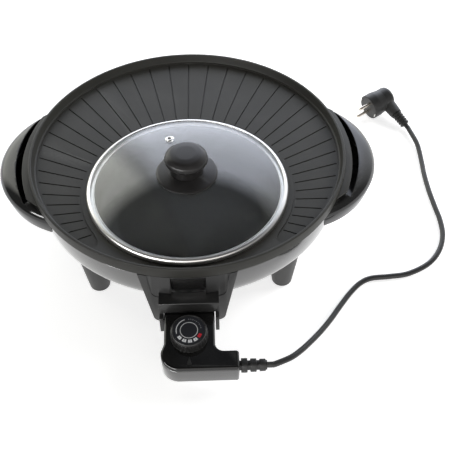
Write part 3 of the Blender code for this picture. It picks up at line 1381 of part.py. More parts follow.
def make_control_insides():
    front = -CONTROL_CAVITY_BACK - GAP
    for side, name in ((-1, "contact_socket_left"), (1, "contact_socket_right")):
        bore = PIN_RADIUS + GAP
        profile = [(bore, 0.0), (SOCKET_RADIUS, 0.0), (SOCKET_RADIUS, -SOCKET_LENGTH), (bore, -SOCKET_LENGTH)]
        mesh = turned_mesh(name, profile, ROUND_TINY)
        settle(
            bpy.data.objects.new(name, mesh), CONTROL, BRASS, (side * PIN_SPACING / 2, front, -PIN_DROP),
            Matrix.Rotation(-math.pi / 2, 4, "X"),
        )
    tip = -CONTROL_BACK + PROBE_REACH
    probe = rod_mesh("probe", PROBE_RADIUS, (0.0, tip - PROBE_LENGTH, -PIN_DROP), (0.0, tip, -PIN_DROP))
    rod = settle(bpy.data.objects.new("probe_rod", probe), CONTROL, STEEL)
    soften(rod, PROBE_RADIUS / 3)
    floor = -CONTROL_BOTTOM_DROP + CONTROL_WALL + GAP
    body = (SWITCH_SIZE[0], SWITCH_SIZE[1], SWITCH_SIZE[2])
    low = switch_top() - body[2]
    block = box_mesh("switch", body, (0.0, -DIAL_REACH, low + body[2] / 2))
    post = PROBE_RADIUS * 2
    switch = settle(bpy.data.objects.new("thermostat_switch", block), CONTROL, SWITCH_CERAMIC)
    for side in (-1, 1):
        legs = box_mesh(
            "switch_leg", (post, body[1], low - floor + OVERRUN),
            (side * (body[0] - post) / 2, -DIAL_REACH, (low + floor + OVERRUN) / 2),
        )
        combine(switch, cutter("switch_leg", legs, CONTROL), "UNION")
    strip_z = -PIN_DROP + PROBE_RADIUS + GAP + BIMETAL_SHEET / 2
    strip = box_mesh("strip", (post, body[1], BIMETAL_SHEET), (0.0, -DIAL_REACH, strip_z))
    settle(bpy.data.objects.new("bimetal_strip", strip), CONTROL, BRASS)
    for i, (x, reach) in enumerate(CASE_SCREW_PLACES):
        seat = case_screw_seat() - GAP
        top = seat + CASE_SCREW_LENGTH
        profile = [
            (0.0, top), (CASE_SCREW_RADIUS, top - CASE_SCREW_RADIUS),
            (CASE_SCREW_RADIUS, seat), (CASE_SCREW_HEAD, seat), (CASE_SCREW_HEAD, seat - CASE_SCREW_RADIUS),
            (0.0, seat - CASE_SCREW_RADIUS),
        ]
        mesh = turned_mesh("case_screw", profile, ROUND_TINY)
        screw = bpy.data.objects.new("case_screw_" + str(i + 1), mesh)
        settle(screw, CONTROL, STEEL, (x, -reach, 0.0))


# Cord, relief and plug


def ribbed_profile(length, core, first_rib, last_rib, ribs, share, seat=0.0):
    """A ribbed sleeve from its seat at height zero up to its tip."""
    points = [(0.0, length)]
    pitch = length / ribs
    for i in reversed(range(ribs)):
        rib = first_rib + (last_rib - first_rib) * i / max(1, ribs - 1)
        top = (i + 1) * pitch - pitch * (1 - share) / 2
        low = i * pitch + pitch * (1 - share) / 2
        points += [(core, (i + 1) * pitch), (core, top), (rib, top), (rib, low), (core, low)]
    points += [(core, -seat), (0.0, -seat)]
    return points


def make_relief():
    profile = ribbed_profile(
        RELIEF_LENGTH, RELIEF_CORE, RELIEF_RIB, RELIEF_TIP_RIB, RELIEF_RIBS, RELIEF_RIB_SHARE, RELIEF_SEAT
    )
    mesh = turned_mesh("strain_relief", profile, ROUND_SMALL)
    settle(
        bpy.data.objects.new("strain_relief", mesh), CONTROL, CORD_RUBBER,
        (CONTROL_ARM + GAP, -RELIEF_REACH, -RELIEF_DROP), Matrix.Rotation(math.pi / 2, 4, "Y"),
    )


def cord_route():
    """The cord's hand-laid route: millimetres from the rim's centre, height over the table."""
    start_x = (CONTROL_ARM + 2 * GAP + RELIEF_LENGTH) / MM
    start = (start_x, -RELIEF_REACH / MM, (RIM_HEIGHT - RELIEF_DROP) / MM)
    return [start] + [
        (98.0, -262.0, 32.5), (112.0, -254.5, 30.5), (124.0, -243.5, 26.8), (137.0, -228.5, 21.7),
        (150.5, -211.5, 16.5), (164.5, -192.0, 11.8), (179.0, -170.0, 7.8), (194.0, -149.0, 5.0),
        (209.0, -133.0, 3.7), (224.0, -125.5, 3.5), (247.0, -123.5, 3.5), (272.0, -119.5, 3.5),
        (300.0, -104.5, 3.5), (318.0, -83.0, 3.5), (328.0, -57.0, 3.5), (330.0, -30.0, 3.5),
        (328.0, -4.0, 3.5), (326.3, 24.0, 3.5), (326.0, 54.0, 3.5), (327.4, 82.0, 3.6),
        (328.0, 104.0, 4.4), (327.0, 122.0, 5.6),
    ]




def plug_turn():
    """The plug's frame: +X out of its face, +Y along its neck towards the cord."""
    heading = Matrix.Rotation(PLUG_HEADING, 4, "Z")
    pitch = Matrix.Rotation(PLUG_PITCH, 4, "Y")
    roll = Matrix.Rotation(-PLUG_ROLL, 4, "X")
    return heading @ pitch @ roll


def plug_matrix():
    x, y, height = PLUG_PLACE
    return Matrix.Translation((x, y, height - RIM_HEIGHT)) @ plug_turn()


def smooth_route(points, spacing):
    """Evenly spaced points on a smooth curve through the route's own points."""
    places = [Vector(p) for p in points]
    ends = [places[0] * 2 - places[1]] + places + [places[-1] * 2 - places[-2]]
    fine = []
    per_span = 24
    for a, b, c, d in zip(ends, ends[1:], ends[2:], ends[3:]):
        for i in range(per_span):
            t = i / per_span
            bend = (2 * a - 5 * b + 4 * c - d) * t ** 2 + (3 * b - a - 3 * c + d) * t ** 3
            fine.append(0.5 * (2 * b + (c - a) * t + bend))
    fine.append(places[-1])
    length = sum((q - p).length for p, q in zip(fine, fine[1:]))
    count = max(2, round(length / spacing))
    chosen = [fine[0]]
    walked = 0.0
    for p, q in zip(fine, fine[1:]):
        step = (q - p).length
        while walked + step >= length * len(chosen) / count and len(chosen) < count:
            share = (length * len(chosen) / count - walked) / step
            chosen.append(p.lerp(q, share))
        walked += step
    return chosen + [fine[-1]], length


def make_cord():
    place = plug_matrix()
    tip = place @ Vector((-PLUG_NECK_SETBACK, PLUG_RELIEF_REACH + GAP, 0.0))
    lead = place @ Vector((-PLUG_NECK_SETBACK, PLUG_RELIEF_REACH + 2 * CORD_RADIUS, 0.0))
    points = [(x * MM, y * MM, z * MM - RIM_HEIGHT) for x, y, z in cord_route()]
    start = Vector(points[0])
    first = start + Vector((2 * CORD_RADIUS, 0.0, 0.0))
    free, length = smooth_route([first] + points[1:] + [lead], 5 * CORD_RADIUS)
    mesh = tube_mesh("power_cord", [start] + free + [tip], CORD_RADIUS, 2)
    settle(bpy.data.objects.new("power_cord", mesh), CONTROL, CORD_RUBBER)
    print("cord length between relief and plug: %.3f m" % (length + 4 * CORD_RADIUS))


def make_plug():
    place = plug_matrix()
    where = place.to_translation()
    turn = place.to_3x3().to_4x4()
    steps = 3
    back = [
        (PLUG_BACK_RADIUS * math.cos(math.pi / 2 * i / steps) * 0.5 + PLUG_BACK_RADIUS * 0.5,
         -PLUG_DEPTH + PLUG_BACK_RADIUS * 0.35 * (1 - math.sin(math.pi / 2 * i / steps)))
        for i in range(steps + 1)
    ]
    profile = [
        (0.0, 0.0), (PLUG_RADIUS - PLUG_FACE_EDGE, 0.0), (PLUG_RADIUS, -PLUG_FACE_EDGE),
        (PLUG_RADIUS, -PLUG_DEPTH * 0.3), (PLUG_BACK_RADIUS, -PLUG_DEPTH * 0.6),
    ] + back + [(0.0, -PLUG_DEPTH)]
    body = settle(
        bpy.data.objects.new("plug_body", turned_mesh("plug_body", profile, ROUND_MID)), CONTROL, CORD_RUBBER,
        where, turn @ Matrix.Rotation(math.pi / 2, 4, "Y"),
    )
    neck_length = PLUG_NECK_REACH
    ends = ((-PLUG_NECK_SETBACK, 0.0, 0.0), (-PLUG_NECK_SETBACK, neck_length, 0.0))
    neck = rod_mesh("plug_neck", PLUG_NECK_RADIUS * 1.1, *ends, ROUND_SMALL, PLUG_NECK_RADIUS * 0.85)
    combine(body, cutter("plug_neck", neck, CONTROL, where, turn), "UNION")
    relief = turned_mesh(
        "plug_relief",
        ribbed_profile(PLUG_RELIEF_REACH - neck_length, PLUG_RELIEF_CORE, PLUG_RELIEF_RIB,
                       PLUG_RELIEF_RIB * 0.9, PLUG_RELIEF_RIBS, 0.5, OVERRUN),
        ROUND_SMALL,
    )
    shift = Matrix.Translation((-PLUG_NECK_SETBACK, neck_length, 0.0)) @ Matrix.Rotation(-math.pi / 2, 4, "X")
    relief.transform(shift)
    combine(body, cutter("plug_relief", relief, CONTROL, where, turn), "UNION")
    sockets = []
    tip = PLUG_PIN_LENGTH - PLUG_PIN_RADIUS
    for side, end in ((-1, "lower"), (1, "upper")):
        z = side * PLUG_PIN_SPACING / 2
        profile = [
            (0.0, PLUG_PIN_LENGTH), (PLUG_PIN_RADIUS * 0.55, PLUG_PIN_LENGTH), (PLUG_PIN_RADIUS, tip),
            (PLUG_PIN_RADIUS, -PLUG_PIN_SEAT), (0.0, -PLUG_PIN_SEAT),
        ]
        mesh = turned_mesh("plug_pin", profile, ROUND_TINY)
        mesh.transform(Matrix.Translation((0.0, 0.0, z)) @ Matrix.Rotation(math.pi / 2, 4, "Y"))
        settle(bpy.data.objects.new("plug_pin_" + end, mesh), CONTROL, STEEL, where, turn)
        sockets.append(rod_mesh(
            "pin_seat", PLUG_PIN_RADIUS + GAP, (-PLUG_PIN_SEAT - GAP, 0.0, z), (OVERRUN, 0.0, z)
        ))
    long, thick, wide = PLUG_CLIP_SIZE
    for side, end in ((-1, "back"), (1, "front")):
        y = side * PLUG_CLIP_PLACE
        middle = (-long / 2 + thick, y, 0.0)
        clip = box_mesh("clip", (long, thick, wide), middle)
        settle(bpy.data.objects.new("earth_clip_" + end, clip), CONTROL, STEEL, where, turn)
        room = (long + 2 * GAP, thick + 2 * GAP, wide + 2 * GAP)
        sockets.append(box_mesh("clip_seat", room, middle))
    combine(body, cutter("plug_sockets", joined_mesh("plug_sockets", sockets), CONTROL, where, turn))
    weld(body)
    return body


def make_all():
    make_pan()
    make_element()
    make_reflector()
    make_bowl()
    make_legs()
    make_ear(-1, "left_handle")
    make_ear(1, "right_handle")
    make_ear_screws()
    make_glass()
    make_grommet()
    make_lid_band()
    make_knob()
    make_guard()
    make_control_cases()
    make_dial()
    make_control_insides()
    make_relief()
    make_cord()
    make_plug()
    bpy.context.view_layer.update()


make_all()
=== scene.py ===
"""An electric table grill with a pot in its middle: a crescent of fanned grooves round a
deep well, a glass lid with a steel band, a plug-in heat control on a short cord."""

import math

import bpy
from mathutils import Matrix, Vector


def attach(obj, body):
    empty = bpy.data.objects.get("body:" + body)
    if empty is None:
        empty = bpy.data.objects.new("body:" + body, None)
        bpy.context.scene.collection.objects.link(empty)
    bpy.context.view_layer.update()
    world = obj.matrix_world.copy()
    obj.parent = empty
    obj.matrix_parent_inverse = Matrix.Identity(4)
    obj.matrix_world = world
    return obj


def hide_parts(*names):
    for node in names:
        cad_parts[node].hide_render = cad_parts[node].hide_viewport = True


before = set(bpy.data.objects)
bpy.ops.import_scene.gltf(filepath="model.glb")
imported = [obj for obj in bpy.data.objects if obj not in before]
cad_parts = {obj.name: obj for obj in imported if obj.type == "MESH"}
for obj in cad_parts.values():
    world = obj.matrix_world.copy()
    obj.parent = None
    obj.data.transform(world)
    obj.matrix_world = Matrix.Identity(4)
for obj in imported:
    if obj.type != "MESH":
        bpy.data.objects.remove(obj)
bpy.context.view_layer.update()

MM = 0.001
FULL = 2 * math.pi
QUARTER = math.pi / 2

# The pan's centre at the height of its rim; every height below is measured from there.
PAN_Y = 0.0405
RIM_Z = 0.115
PAN = (0.0, PAN_Y, RIM_Z)
LID_PLACE = (0.0, PAN_Y - 0.062, RIM_Z)
GAP = 0.0003
HAIR = 0.00002

ROUND = 160
LID_ROUND = 144
KNOB_ROUND = 96
SMALL_ROUND = 48


# Camera


def set_camera():
    """The photograph's own place: in front, a little to the right, looking down."""
    heading = math.radians(-2.128)
    drop = math.radians(48.444)
    roll = math.radians(0.1248)
    look = Vector((-math.sin(heading) * math.cos(drop), math.cos(heading) * math.cos(drop), -math.sin(drop)))
    bpy.ops.object.camera_add(location=(0.031785, -0.684549, 0.767899))
    camera = bpy.context.object
    camera.name = "photo_camera"
    aim = look.to_track_quat("-Z", "Y").to_matrix().to_4x4()
    camera.matrix_world = Matrix.Translation(camera.location) @ aim @ Matrix.Rotation(roll, 4, "Z")
    camera.data.sensor_width = 36.0
    camera.data.lens = 59.94
    camera.data.clip_start = 0.01
    bpy.context.scene.camera = camera
    bpy.context.scene.view_settings.view_transform = "Standard"


# Cord


CORD_RADIUS = 0.0034
RELIEF_START = Vector((0.0543, PAN_Y - 0.26475, 0.033))
RELIEF_LENGTH = 0.030
CORD_EXIT = RELIEF_START + Vector((RELIEF_LENGTH + GAP, 0.0, 0.0))
PLUG_PLACE = Matrix.Translation((0.265, PAN_Y + 0.187, 0.0182)) @ (
    Matrix.Rotation(math.radians(210.2), 4, "Z")
    @ Matrix.Rotation(math.radians(8.0), 4, "Y")
    @ Matrix.Rotation(math.radians(-16.0), 4, "X")
)
PLUG_SETBACK = 0.029
PLUG_RELIEF_END = 0.053

# Millimetres from the pan's centre, and height over the table.
CORD_ROUTE = (
    (98.0, -262.0, 32.5), (112.0, -254.5, 30.5), (124.0, -243.5, 26.8), (137.0, -228.5, 21.7),
    (150.5, -211.5, 16.5), (164.5, -192.0, 11.8), (179.0, -170.0, 7.8), (194.0, -149.0, 5.0),
    (209.0, -133.0, 3.7), (224.0, -125.5, 3.5), (247.0, -123.5, 3.5), (272.0, -119.5, 3.5),
    (300.0, -104.5, 3.5), (318.0, -83.0, 3.5), (328.0, -57.0, 3.5), (330.0, -30.0, 3.5),
    (328.0, -4.0, 3.5), (326.3, 24.0, 3.5), (326.0, 54.0, 3.5), (327.4, 82.0, 3.6),
    (328.0, 104.0, 4.4), (327.0, 122.0, 5.6),
)


def smooth_route(points, per_span=10):
    """A smooth line through the route's own points, and its length."""
    ends = [points[0] * 2 - points[1]] + points + [points[-1] * 2 - points[-2]]
    fine = []
    for a, b, c, d in zip(ends, ends[1:], ends[2:], ends[3:]):
        for i in range(per_span):
            t = i / per_span
            fine.append(
                0.5 * (2 * b + (c - a) * t + (2 * a - 5 * b + 4 * c - d) * t ** 2
                       + (3 * b - a - 3 * c + d) * t ** 3)
            )
    fine.append(points[-1])
    return fine, sum((q - p).length for p, q in zip(fine, fine[1:]))


def lay_cord():
    """The mains lead, from the control's sleeve to the plug's, where its solid lies."""
    tip = PLUG_PLACE @ Vector((-PLUG_SETBACK, PLUG_RELIEF_END + GAP, 0.0))
    lead = PLUG_PLACE @ Vector((-PLUG_SETBACK, PLUG_RELIEF_END + 2 * CORD_RADIUS, 0.0))
    route = [Vector((x * MM, PAN_Y + y * MM, z * MM)) for x, y, z in CORD_ROUTE]
    first = CORD_EXIT + Vector((2 * CORD_RADIUS, 0.0, 0.0))
    line, length = smooth_route([first] + route + [lead])
    curve = bpy.data.curves.new("mains_lead", "CURVE")
    curve.dimensions = "3D"
    curve.bevel_depth = CORD_RADIUS
    curve.bevel_resolution = 5
    curve.use_fill_caps = True
    spline = curve.splines.new("POLY")
    places = [CORD_EXIT] + line + [tip]
    spline.points.add(len(places) - 1)
    for point, place in zip(spline.points, places):
        point.co = (*place, 1.0)
    spline.use_smooth = True
    lead_piece = bpy.data.objects.new("mains_lead", curve)
    bpy.context.collection.objects.link(lead_piece)
    return lead_piece, length + 4 * CORD_RADIUS


set_camera()
mains_lead, cord_length = lay_cord()


# Workshop


def rest():
    """Leave edit mode with nothing selected."""
    if bpy.context.mode != "OBJECT":
        bpy.ops.object.mode_set(mode="OBJECT")
    bpy.ops.object.select_all(action="DESELECT")


def take(piece):
    """Select one piece alone."""
    rest()
    piece.select_set(True)
    bpy.context.view_layer.objects.active = piece
    return piece


def edit(piece, kind="VERT"):
    """Open a piece in edit mode with all of it selected."""
    take(piece)
    bpy.ops.object.mode_set(mode="EDIT")
    bpy.ops.mesh.select_mode(type=kind)
    bpy.ops.mesh.select_all(action="SELECT")


def named(name):
    """The primitive just added, with its place in its mesh."""
    piece = bpy.context.object
    piece.name = name
    piece.data.name = name
    bpy.ops.object.transform_apply(location=True, rotation=True, scale=True)
    return piece


def close_up(piece):
    """Merge what meets, turn every face outwards and leave edit mode."""
    bpy.ops.mesh.select_all(action="SELECT")
    bpy.ops.mesh.remove_doubles(threshold=HAIR)
    bpy.ops.mesh.normals_make_consistent(inside=False)
    bpy.ops.object.mode_set(mode="OBJECT")
    return piece


def put(piece, matrix):
    """Set a piece down somewhere, with its place in its mesh."""
    take(piece)
    piece.matrix_world = matrix
    bpy.ops.object.transform_apply(location=True, rotation=True, scale=True)
    return piece


def apply_steps(piece):
    take(piece)
    for step in list(piece.modifiers):
        bpy.ops.object.modifier_apply(modifier=step.name)
    return piece


def clear_away(*tools):
    for tool in tools:
        mesh = tool.data
        bpy.data.objects.remove(tool, do_unlink=True)
        bpy.data.meshes.remove(mesh)


def join(name, pieces):
    rest()
    for piece in pieces:
        piece.select_set(True)
    bpy.context.view_layer.objects.active = pieces[0]
    bpy.ops.object.join()
    pieces[0].name = name
    pieces[0].data.name = name
    return pieces[0]


def cut(piece, tool, operation="DIFFERENCE"):
    """Cut, join or trim a piece with a tool, and clear the tool away."""
    step = piece.modifiers.new("cut", "BOOLEAN")
    step.operation = operation
    step.solver = "EXACT"
    step.object = tool
    apply_steps(piece)
    clear_away(tool)
    return piece


def soften(piece, width, segments=2, angle=35.0):
    """Round every sharp edge of a piece."""
    step = piece.modifiers.new("soft_edges", "BEVEL")
    step.width = width
    step.segments = segments
    step.limit_method = "ANGLE"
    step.angle_limit = math.radians(angle)
    step.use_clamp_overlap = True
    return apply_steps(piece)


def smooth(piece, angle=32.0):
    take(piece)
    bpy.ops.object.shade_smooth_by_angle(angle=math.radians(angle))
    return piece


def bend(corners, steps=5):
    """A line of (across, up, round) corners with each corner rounded."""
    line = []
    for i, (across, up, radius) in enumerate(corners):
        here = Vector((across, up))
        if radius <= 0.0 or i in (0, len(corners) - 1):
            line.append((across, up))
            continue
        back = (Vector(corners[i - 1][:2]) - here).normalized()
        ahead = (Vector(corners[i + 1][:2]) - here).normalized()
        half = back.angle(ahead) / 2
        middle = here + (back + ahead).normalized() * radius / math.sin(half)
        first = here + back * radius / math.tan(half) - middle
        last = here + ahead * radius / math.tan(half) - middle
        sweep = first.angle_signed(last)
        base = math.atan2(first.y, first.x)
        turns = [base - sweep * n / steps for n in range(steps + 1)]
        line += [(middle.x + radius * math.cos(turn), middle.y + radius * math.sin(turn)) for turn in turns]
    return line


def ring_of(corners, steps=5):
    """The same for a closed outline."""
    turned_on = [corners[-1]] + list(corners) + [corners[0]]
    return bend(turned_on, steps)[1:-1]


def arc(centre, radius, start, end, steps):
    return [
        (centre[0] + radius * math.cos(start + (end - start) * i / steps),
         centre[1] + radius * math.sin(start + (end - start) * i / steps))
        for i in range(steps + 1)
    ]


def turned(name, profile, steps=ROUND, centre=(0.0, 0.0, 0.0), loop=False):
    """Draw a ring up through a profile of (radius, height), as on a lathe.

    A profile that starts and ends on the axis is a solid; a loop closes on itself.
    """
    rest()
    x, y, z = centre
    line = [(max(r, HAIR / 2), h) for r, h in profile]
    if loop:
        line.append(line[0])
    bpy.ops.mesh.primitive_circle_add(
        vertices=steps, radius=line[0][0], fill_type="NOTHING", location=(x, y, z + line[0][1])
    )
    piece = named(name)
    edit(piece, "EDGE")
    for (radius, height), (next_radius, next_height) in zip(line, line[1:]):
        bpy.ops.mesh.extrude_region_move(TRANSFORM_OT_translate={"value": (0.0, 0.0, next_height - height)})
        share = next_radius / radius
        bpy.ops.transform.resize(value=(share, share, 1.0), center_override=(x, y, z + next_height))
    return close_up(piece)


def traced(name, outline, low, high):
    """Draw an outline of (x, y) points one by one, fill it and raise it."""
    rest()
    x, y = outline[0]
    bpy.ops.mesh.primitive_plane_add(size=HAIR, location=(x, y, low))
    piece = named(name)
    edit(piece)
    bpy.ops.mesh.merge(type="CENTER")
    for (x, y), (next_x, next_y) in zip(outline, outline[1:] + outline[:1]):
        bpy.ops.mesh.extrude_region_move(TRANSFORM_OT_translate={"value": (next_x - x, next_y - y, 0.0)})
    bpy.ops.mesh.select_all(action="SELECT")
    bpy.ops.mesh.remove_doubles(threshold=HAIR)
    bpy.ops.mesh.edge_face_add()
    bpy.ops.mesh.extrude_region_move(TRANSFORM_OT_translate={"value": (0.0, 0.0, high - low)})
    return close_up(piece)


def block(name, size, centre):
    """A plain block for cutting with, or to be shaped further."""
    rest()
    bpy.ops.mesh.primitive_cube_add(size=1.0, location=centre, scale=size)
    return named(name)


def rod(name, radius, start, end, steps=SMALL_ROUND, tip=None):
    """A straight rod between two points, to be shaped further or cut with."""
    axis = Vector(end) - Vector(start)
    line = [(0.0, 0.0), (radius, 0.0), (radius if tip is None else tip, axis.length), (0.0, axis.length)]
    piece = turned(name, line, steps)
    return put(piece, Matrix.Translation(start) @ axis.to_track_quat("Z", "Y").to_matrix().to_4x4())


def sector(inner, outer, half_angle, heading, steps):
    """An outline between two radii about the pan's axis."""
    far = arc((0.0, PAN_Y), outer, heading - half_angle, heading + half_angle, steps)
    near = arc((0.0, PAN_Y), inner, heading + half_angle, heading - half_angle, steps)
    return far + near


# Surfaces


def group(name, inputs, outputs):
    """An empty shared effect with its sockets."""
    tree = bpy.data.node_groups.new(name, "ShaderNodeTree")
    for label, kind, value in inputs:
        socket = tree.interface.new_socket(name=label, in_out="INPUT", socket_type="NodeSocket" + kind)
        socket.default_value = value
    for label, kind in outputs:
        tree.interface.new_socket(name=label, in_out="OUTPUT", socket_type="NodeSocket" + kind)
    return tree, tree.nodes.new("NodeGroupInput"), tree.nodes.new("NodeGroupOutput")


def add(tree, kind, values=(), **settings):
    """One node, with its settings and the values of its sockets."""
    node = tree.nodes.new("ShaderNode" + kind)
    for key, value in settings.items():
        setattr(node, key, value)
    for key, value in dict(values).items():
        node.inputs[key].default_value = value
    return node


def link(tree, *pairs):
    for start, end in pairs:
        tree.links.new(start, end)


def spread(tree, start, low, high):
    """Bring a value between 0 and 1 to a range."""
    node = add(tree, "MapRange", {"To Min": low, "To Max": high})
    link(tree, (start, node.inputs["Value"]))
    return node.outputs["Result"]


def sum_of(tree, kind, first, second):
    node = add(tree, "Math", operation=kind)
    for socket, value in zip(node.inputs, (first, second)):
        if isinstance(value, (int, float)):
            socket.default_value = value
        else:
            link(tree, (value, socket))
    return node.outputs[0]


def make_fine_grain():
    """Moulded or sprayed grain: a fine height, and a slower patchiness."""
    tree, start, end = group(
        "fine_grain", [("Scale", "Float", 900.0), ("Patch Scale", "Float", 14.0)],
        [("Height", "Float"), ("Patches", "Float")],
    )
    where = add(tree, "TexCoord")
    fine = add(tree, "TexNoise", {"Detail": 3.0, "Roughness": 0.55})
    slow = add(tree, "TexNoise", {"Detail": 4.0, "Roughness": 0.6, "Distortion": 0.4})
    link(
        tree, (where.outputs["Object"], fine.inputs["Vector"]), (where.outputs["Object"], slow.inputs["Vector"]),
        (start.outputs["Scale"], fine.inputs["Scale"]), (start.outputs["Patch Scale"], slow.inputs["Scale"]),
        (fine.outputs["Fac"], end.inputs["Height"]), (slow.outputs["Fac"], end.inputs["Patches"]),
    )
    return tree


def make_worn_edges():
    """Where an outward edge has been rubbed, broken up by noise."""
    tree, start, end = group(
        "worn_edges", [("Reach", "Float", 0.52), ("Break Up", "Float", 260.0)], [("Mask", "Float")]
    )
    form = add(tree, "NewGeometry")
    where = add(tree, "TexCoord")
    noise = add(tree, "TexNoise", {"Detail": 2.0})
    sharp = add(tree, "MapRange", {"From Max": 0.62})
    link(
        tree, (form.outputs["Pointiness"], sharp.inputs["Value"]), (start.outputs["Reach"], sharp.inputs["From Min"]),
        (where.outputs["Object"], noise.inputs["Vector"]), (start.outputs["Break Up"], noise.inputs["Scale"]),
    )
    mask = sum_of(tree, "MULTIPLY", sharp.outputs["Result"], spread(tree, noise.outputs["Fac"], 0.2, 1.0))
    link(tree, (mask, end.inputs["Mask"]))
    return tree


def make_settled_dust():
    """Dust on what faces up, as specks over a thin film."""
    tree, start, end = group(
        "settled_dust", [("Amount", "Float", 0.1), ("Speck Scale", "Float", 420.0)], [("Mask", "Float")]
    )
    form = add(tree, "NewGeometry")
    where = add(tree, "TexCoord")
    parts = add(tree, "SeparateXYZ")
    speck = add(tree, "TexVoronoi", {"Randomness": 1.0})
    film = add(tree, "TexNoise", {"Scale": 22.0, "Detail": 5.0})
    link(
        tree, (form.outputs["Normal"], parts.inputs["Vector"]), (where.outputs["Object"], speck.inputs["Vector"]),
        (start.outputs["Speck Scale"], speck.inputs["Scale"]), (where.outputs["Object"], film.inputs["Vector"]),
    )
    up = add(tree, "MapRange", {"From Min": 0.35})
    dots = add(tree, "MapRange", {"From Min": 0.16, "From Max": 0.06})
    thin = add(tree, "MapRange", {"From Min": 0.45, "From Max": 0.75, "To Max": 0.35})
    link(
        tree, (parts.outputs["Z"], up.inputs["Value"]), (speck.outputs["Distance"], dots.inputs["Value"]),
        (film.outputs["Fac"], thin.inputs["Value"]),
    )
    both = sum_of(tree, "MAXIMUM", dots.outputs["Result"], thin.outputs["Result"])
    laid = sum_of(tree, "MULTIPLY", both, up.outputs["Result"])
    link(tree, (sum_of(tree, "MULTIPLY", laid, start.outputs["Amount"]), end.inputs["Mask"]))
    return tree


def make_lathe_lines():
    """Fine lines that run round an upright axis, as polishing leaves them."""
    tree, start, end = group(
        "lathe_lines", [("Centre", "Vector", (0.0, 0.0, 0.0)), ("Fineness", "Float", 2600.0)], [("Height", "Float")]
    )
    where = add(tree, "TexCoord")
    off = add(tree, "VectorMath", operation="SUBTRACT")
    parts = add(tree, "SeparateXYZ")
    flat = add(tree, "CombineXYZ")
    reach = add(tree, "VectorMath", operation="LENGTH")
    link(
        tree, (where.outputs["Object"], off.inputs[0]), (start.outputs["Centre"], off.inputs[1]),
        (off.outputs[0], parts.inputs["Vector"]), (parts.outputs["X"], flat.inputs["X"]),
        (parts.outputs["Y"], flat.inputs["Y"]), (flat.outputs[0], reach.inputs[0]),
    )
    angle = sum_of(tree, "ARCTAN2", parts.outputs["Y"], parts.outputs["X"])
    line = add(tree, "CombineXYZ")
    link(
        tree, (sum_of(tree, "MULTIPLY", reach.outputs["Value"], start.outputs["Fineness"]), line.inputs["X"]),
        (sum_of(tree, "MULTIPLY", parts.outputs["Z"], start.outputs["Fineness"]), line.inputs["Y"]),
        (sum_of(tree, "MULTIPLY", angle, 9.0), line.inputs["Z"]),
    )
    noise = add(tree, "TexNoise", {"Scale": 1.0, "Detail": 2.0})
    link(tree, (line.outputs[0], noise.inputs["Vector"]), (noise.outputs["Fac"], end.inputs["Height"]))
    return tree


FINE_GRAIN = make_fine_grain()
WORN_EDGES = make_worn_edges()
SETTLED_DUST = make_settled_dust()
LATHE_LINES = make_lathe_lines()


def use(tree, effect, **values):
    """Place a shared effect in a material with its own values."""
    node = tree.nodes.new("ShaderNodeGroup")
    node.node_tree = effect
    for label, value in values.items():
        node.inputs[label.replace("_", " ")].default_value = value
    return node.outputs


def mix(tree, mask, first, second):
    """Blend two colours, or a colour socket and a colour, by a mask."""
    node = add(tree, "Mix", data_type="RGBA", clamp_factor=True)
    link(tree, (mask, node.inputs[0]))
    for socket, value in ((node.inputs[6], first), (node.inputs[7], second)):
        if isinstance(value, tuple):
            socket.default_value = (*value, 1.0)
        else:
            link(tree, (value, socket))
    return node.outputs[2]


def bump(tree, shader, height, distance, strength=1.0):
    node = add(tree, "Bump", {"Strength": strength, "Distance": distance})
    link(tree, (height, node.inputs["Height"]), (node.outputs["Normal"], shader.inputs["Normal"]))
    return node


def surface(
    name, colour, patch, rough, grain=900.0, patches=14.0, depth=0.00001, dust=0.06, wear=0.25,
    worn=(0.16, 0.16, 0.155), **settings
):
    """A solid finish: patchy colour, rubbed edges, dust, and roughness that varies."""
    material = bpy.data.materials.new(name)
    material.use_nodes = True
    tree = material.node_tree
    shader = tree.nodes["Principled BSDF"]
    for label, value in settings.items():
        shader.inputs[label.replace("_", " ")].default_value = value
    field = use(tree, FINE_GRAIN, Scale=grain, Patch_Scale=patches)
    base = mix(tree, field["Patches"], colour, patch)
    rubbed = use(tree, WORN_EDGES)["Mask"]
    edged = mix(tree, sum_of(tree, "MULTIPLY", rubbed, wear), base, worn)
    dusty = use(tree, SETTLED_DUST, Amount=dust)["Mask"]
    link(tree, (mix(tree, dusty, edged, (0.42, 0.41, 0.39)), shader.inputs["Base Color"]))
    patchy = spread(tree, field["Patches"], *rough)
    link(tree, (sum_of(tree, "ADD", patchy, dusty), shader.inputs["Roughness"]))
    bump(tree, shader, field["Height"], depth)
    return material


def steel_surface(name, colour, centre, rough, fineness=2600.0, depth=0.000006):
    """Bright metal polished round an axis, with faint stains."""
    material = bpy.data.materials.new(name)
    material.use_nodes = True
    tree = material.node_tree
    shader = tree.nodes["Principled BSDF"]
    shader.inputs["Metallic"].default_value = 1.0
    lines = use(tree, LATHE_LINES, Centre=centre, Fineness=fineness)["Height"]
    field = use(tree, FINE_GRAIN, Scale=300.0, Patch_Scale=30.0)
    stained = tuple(c * 0.82 for c in colour)
    link(tree, (mix(tree, field["Patches"], colour, stained), shader.inputs["Base Color"]))
    link(tree, (spread(tree, lines, *rough), shader.inputs["Roughness"]))
    bump(tree, shader, lines, depth)
    return material


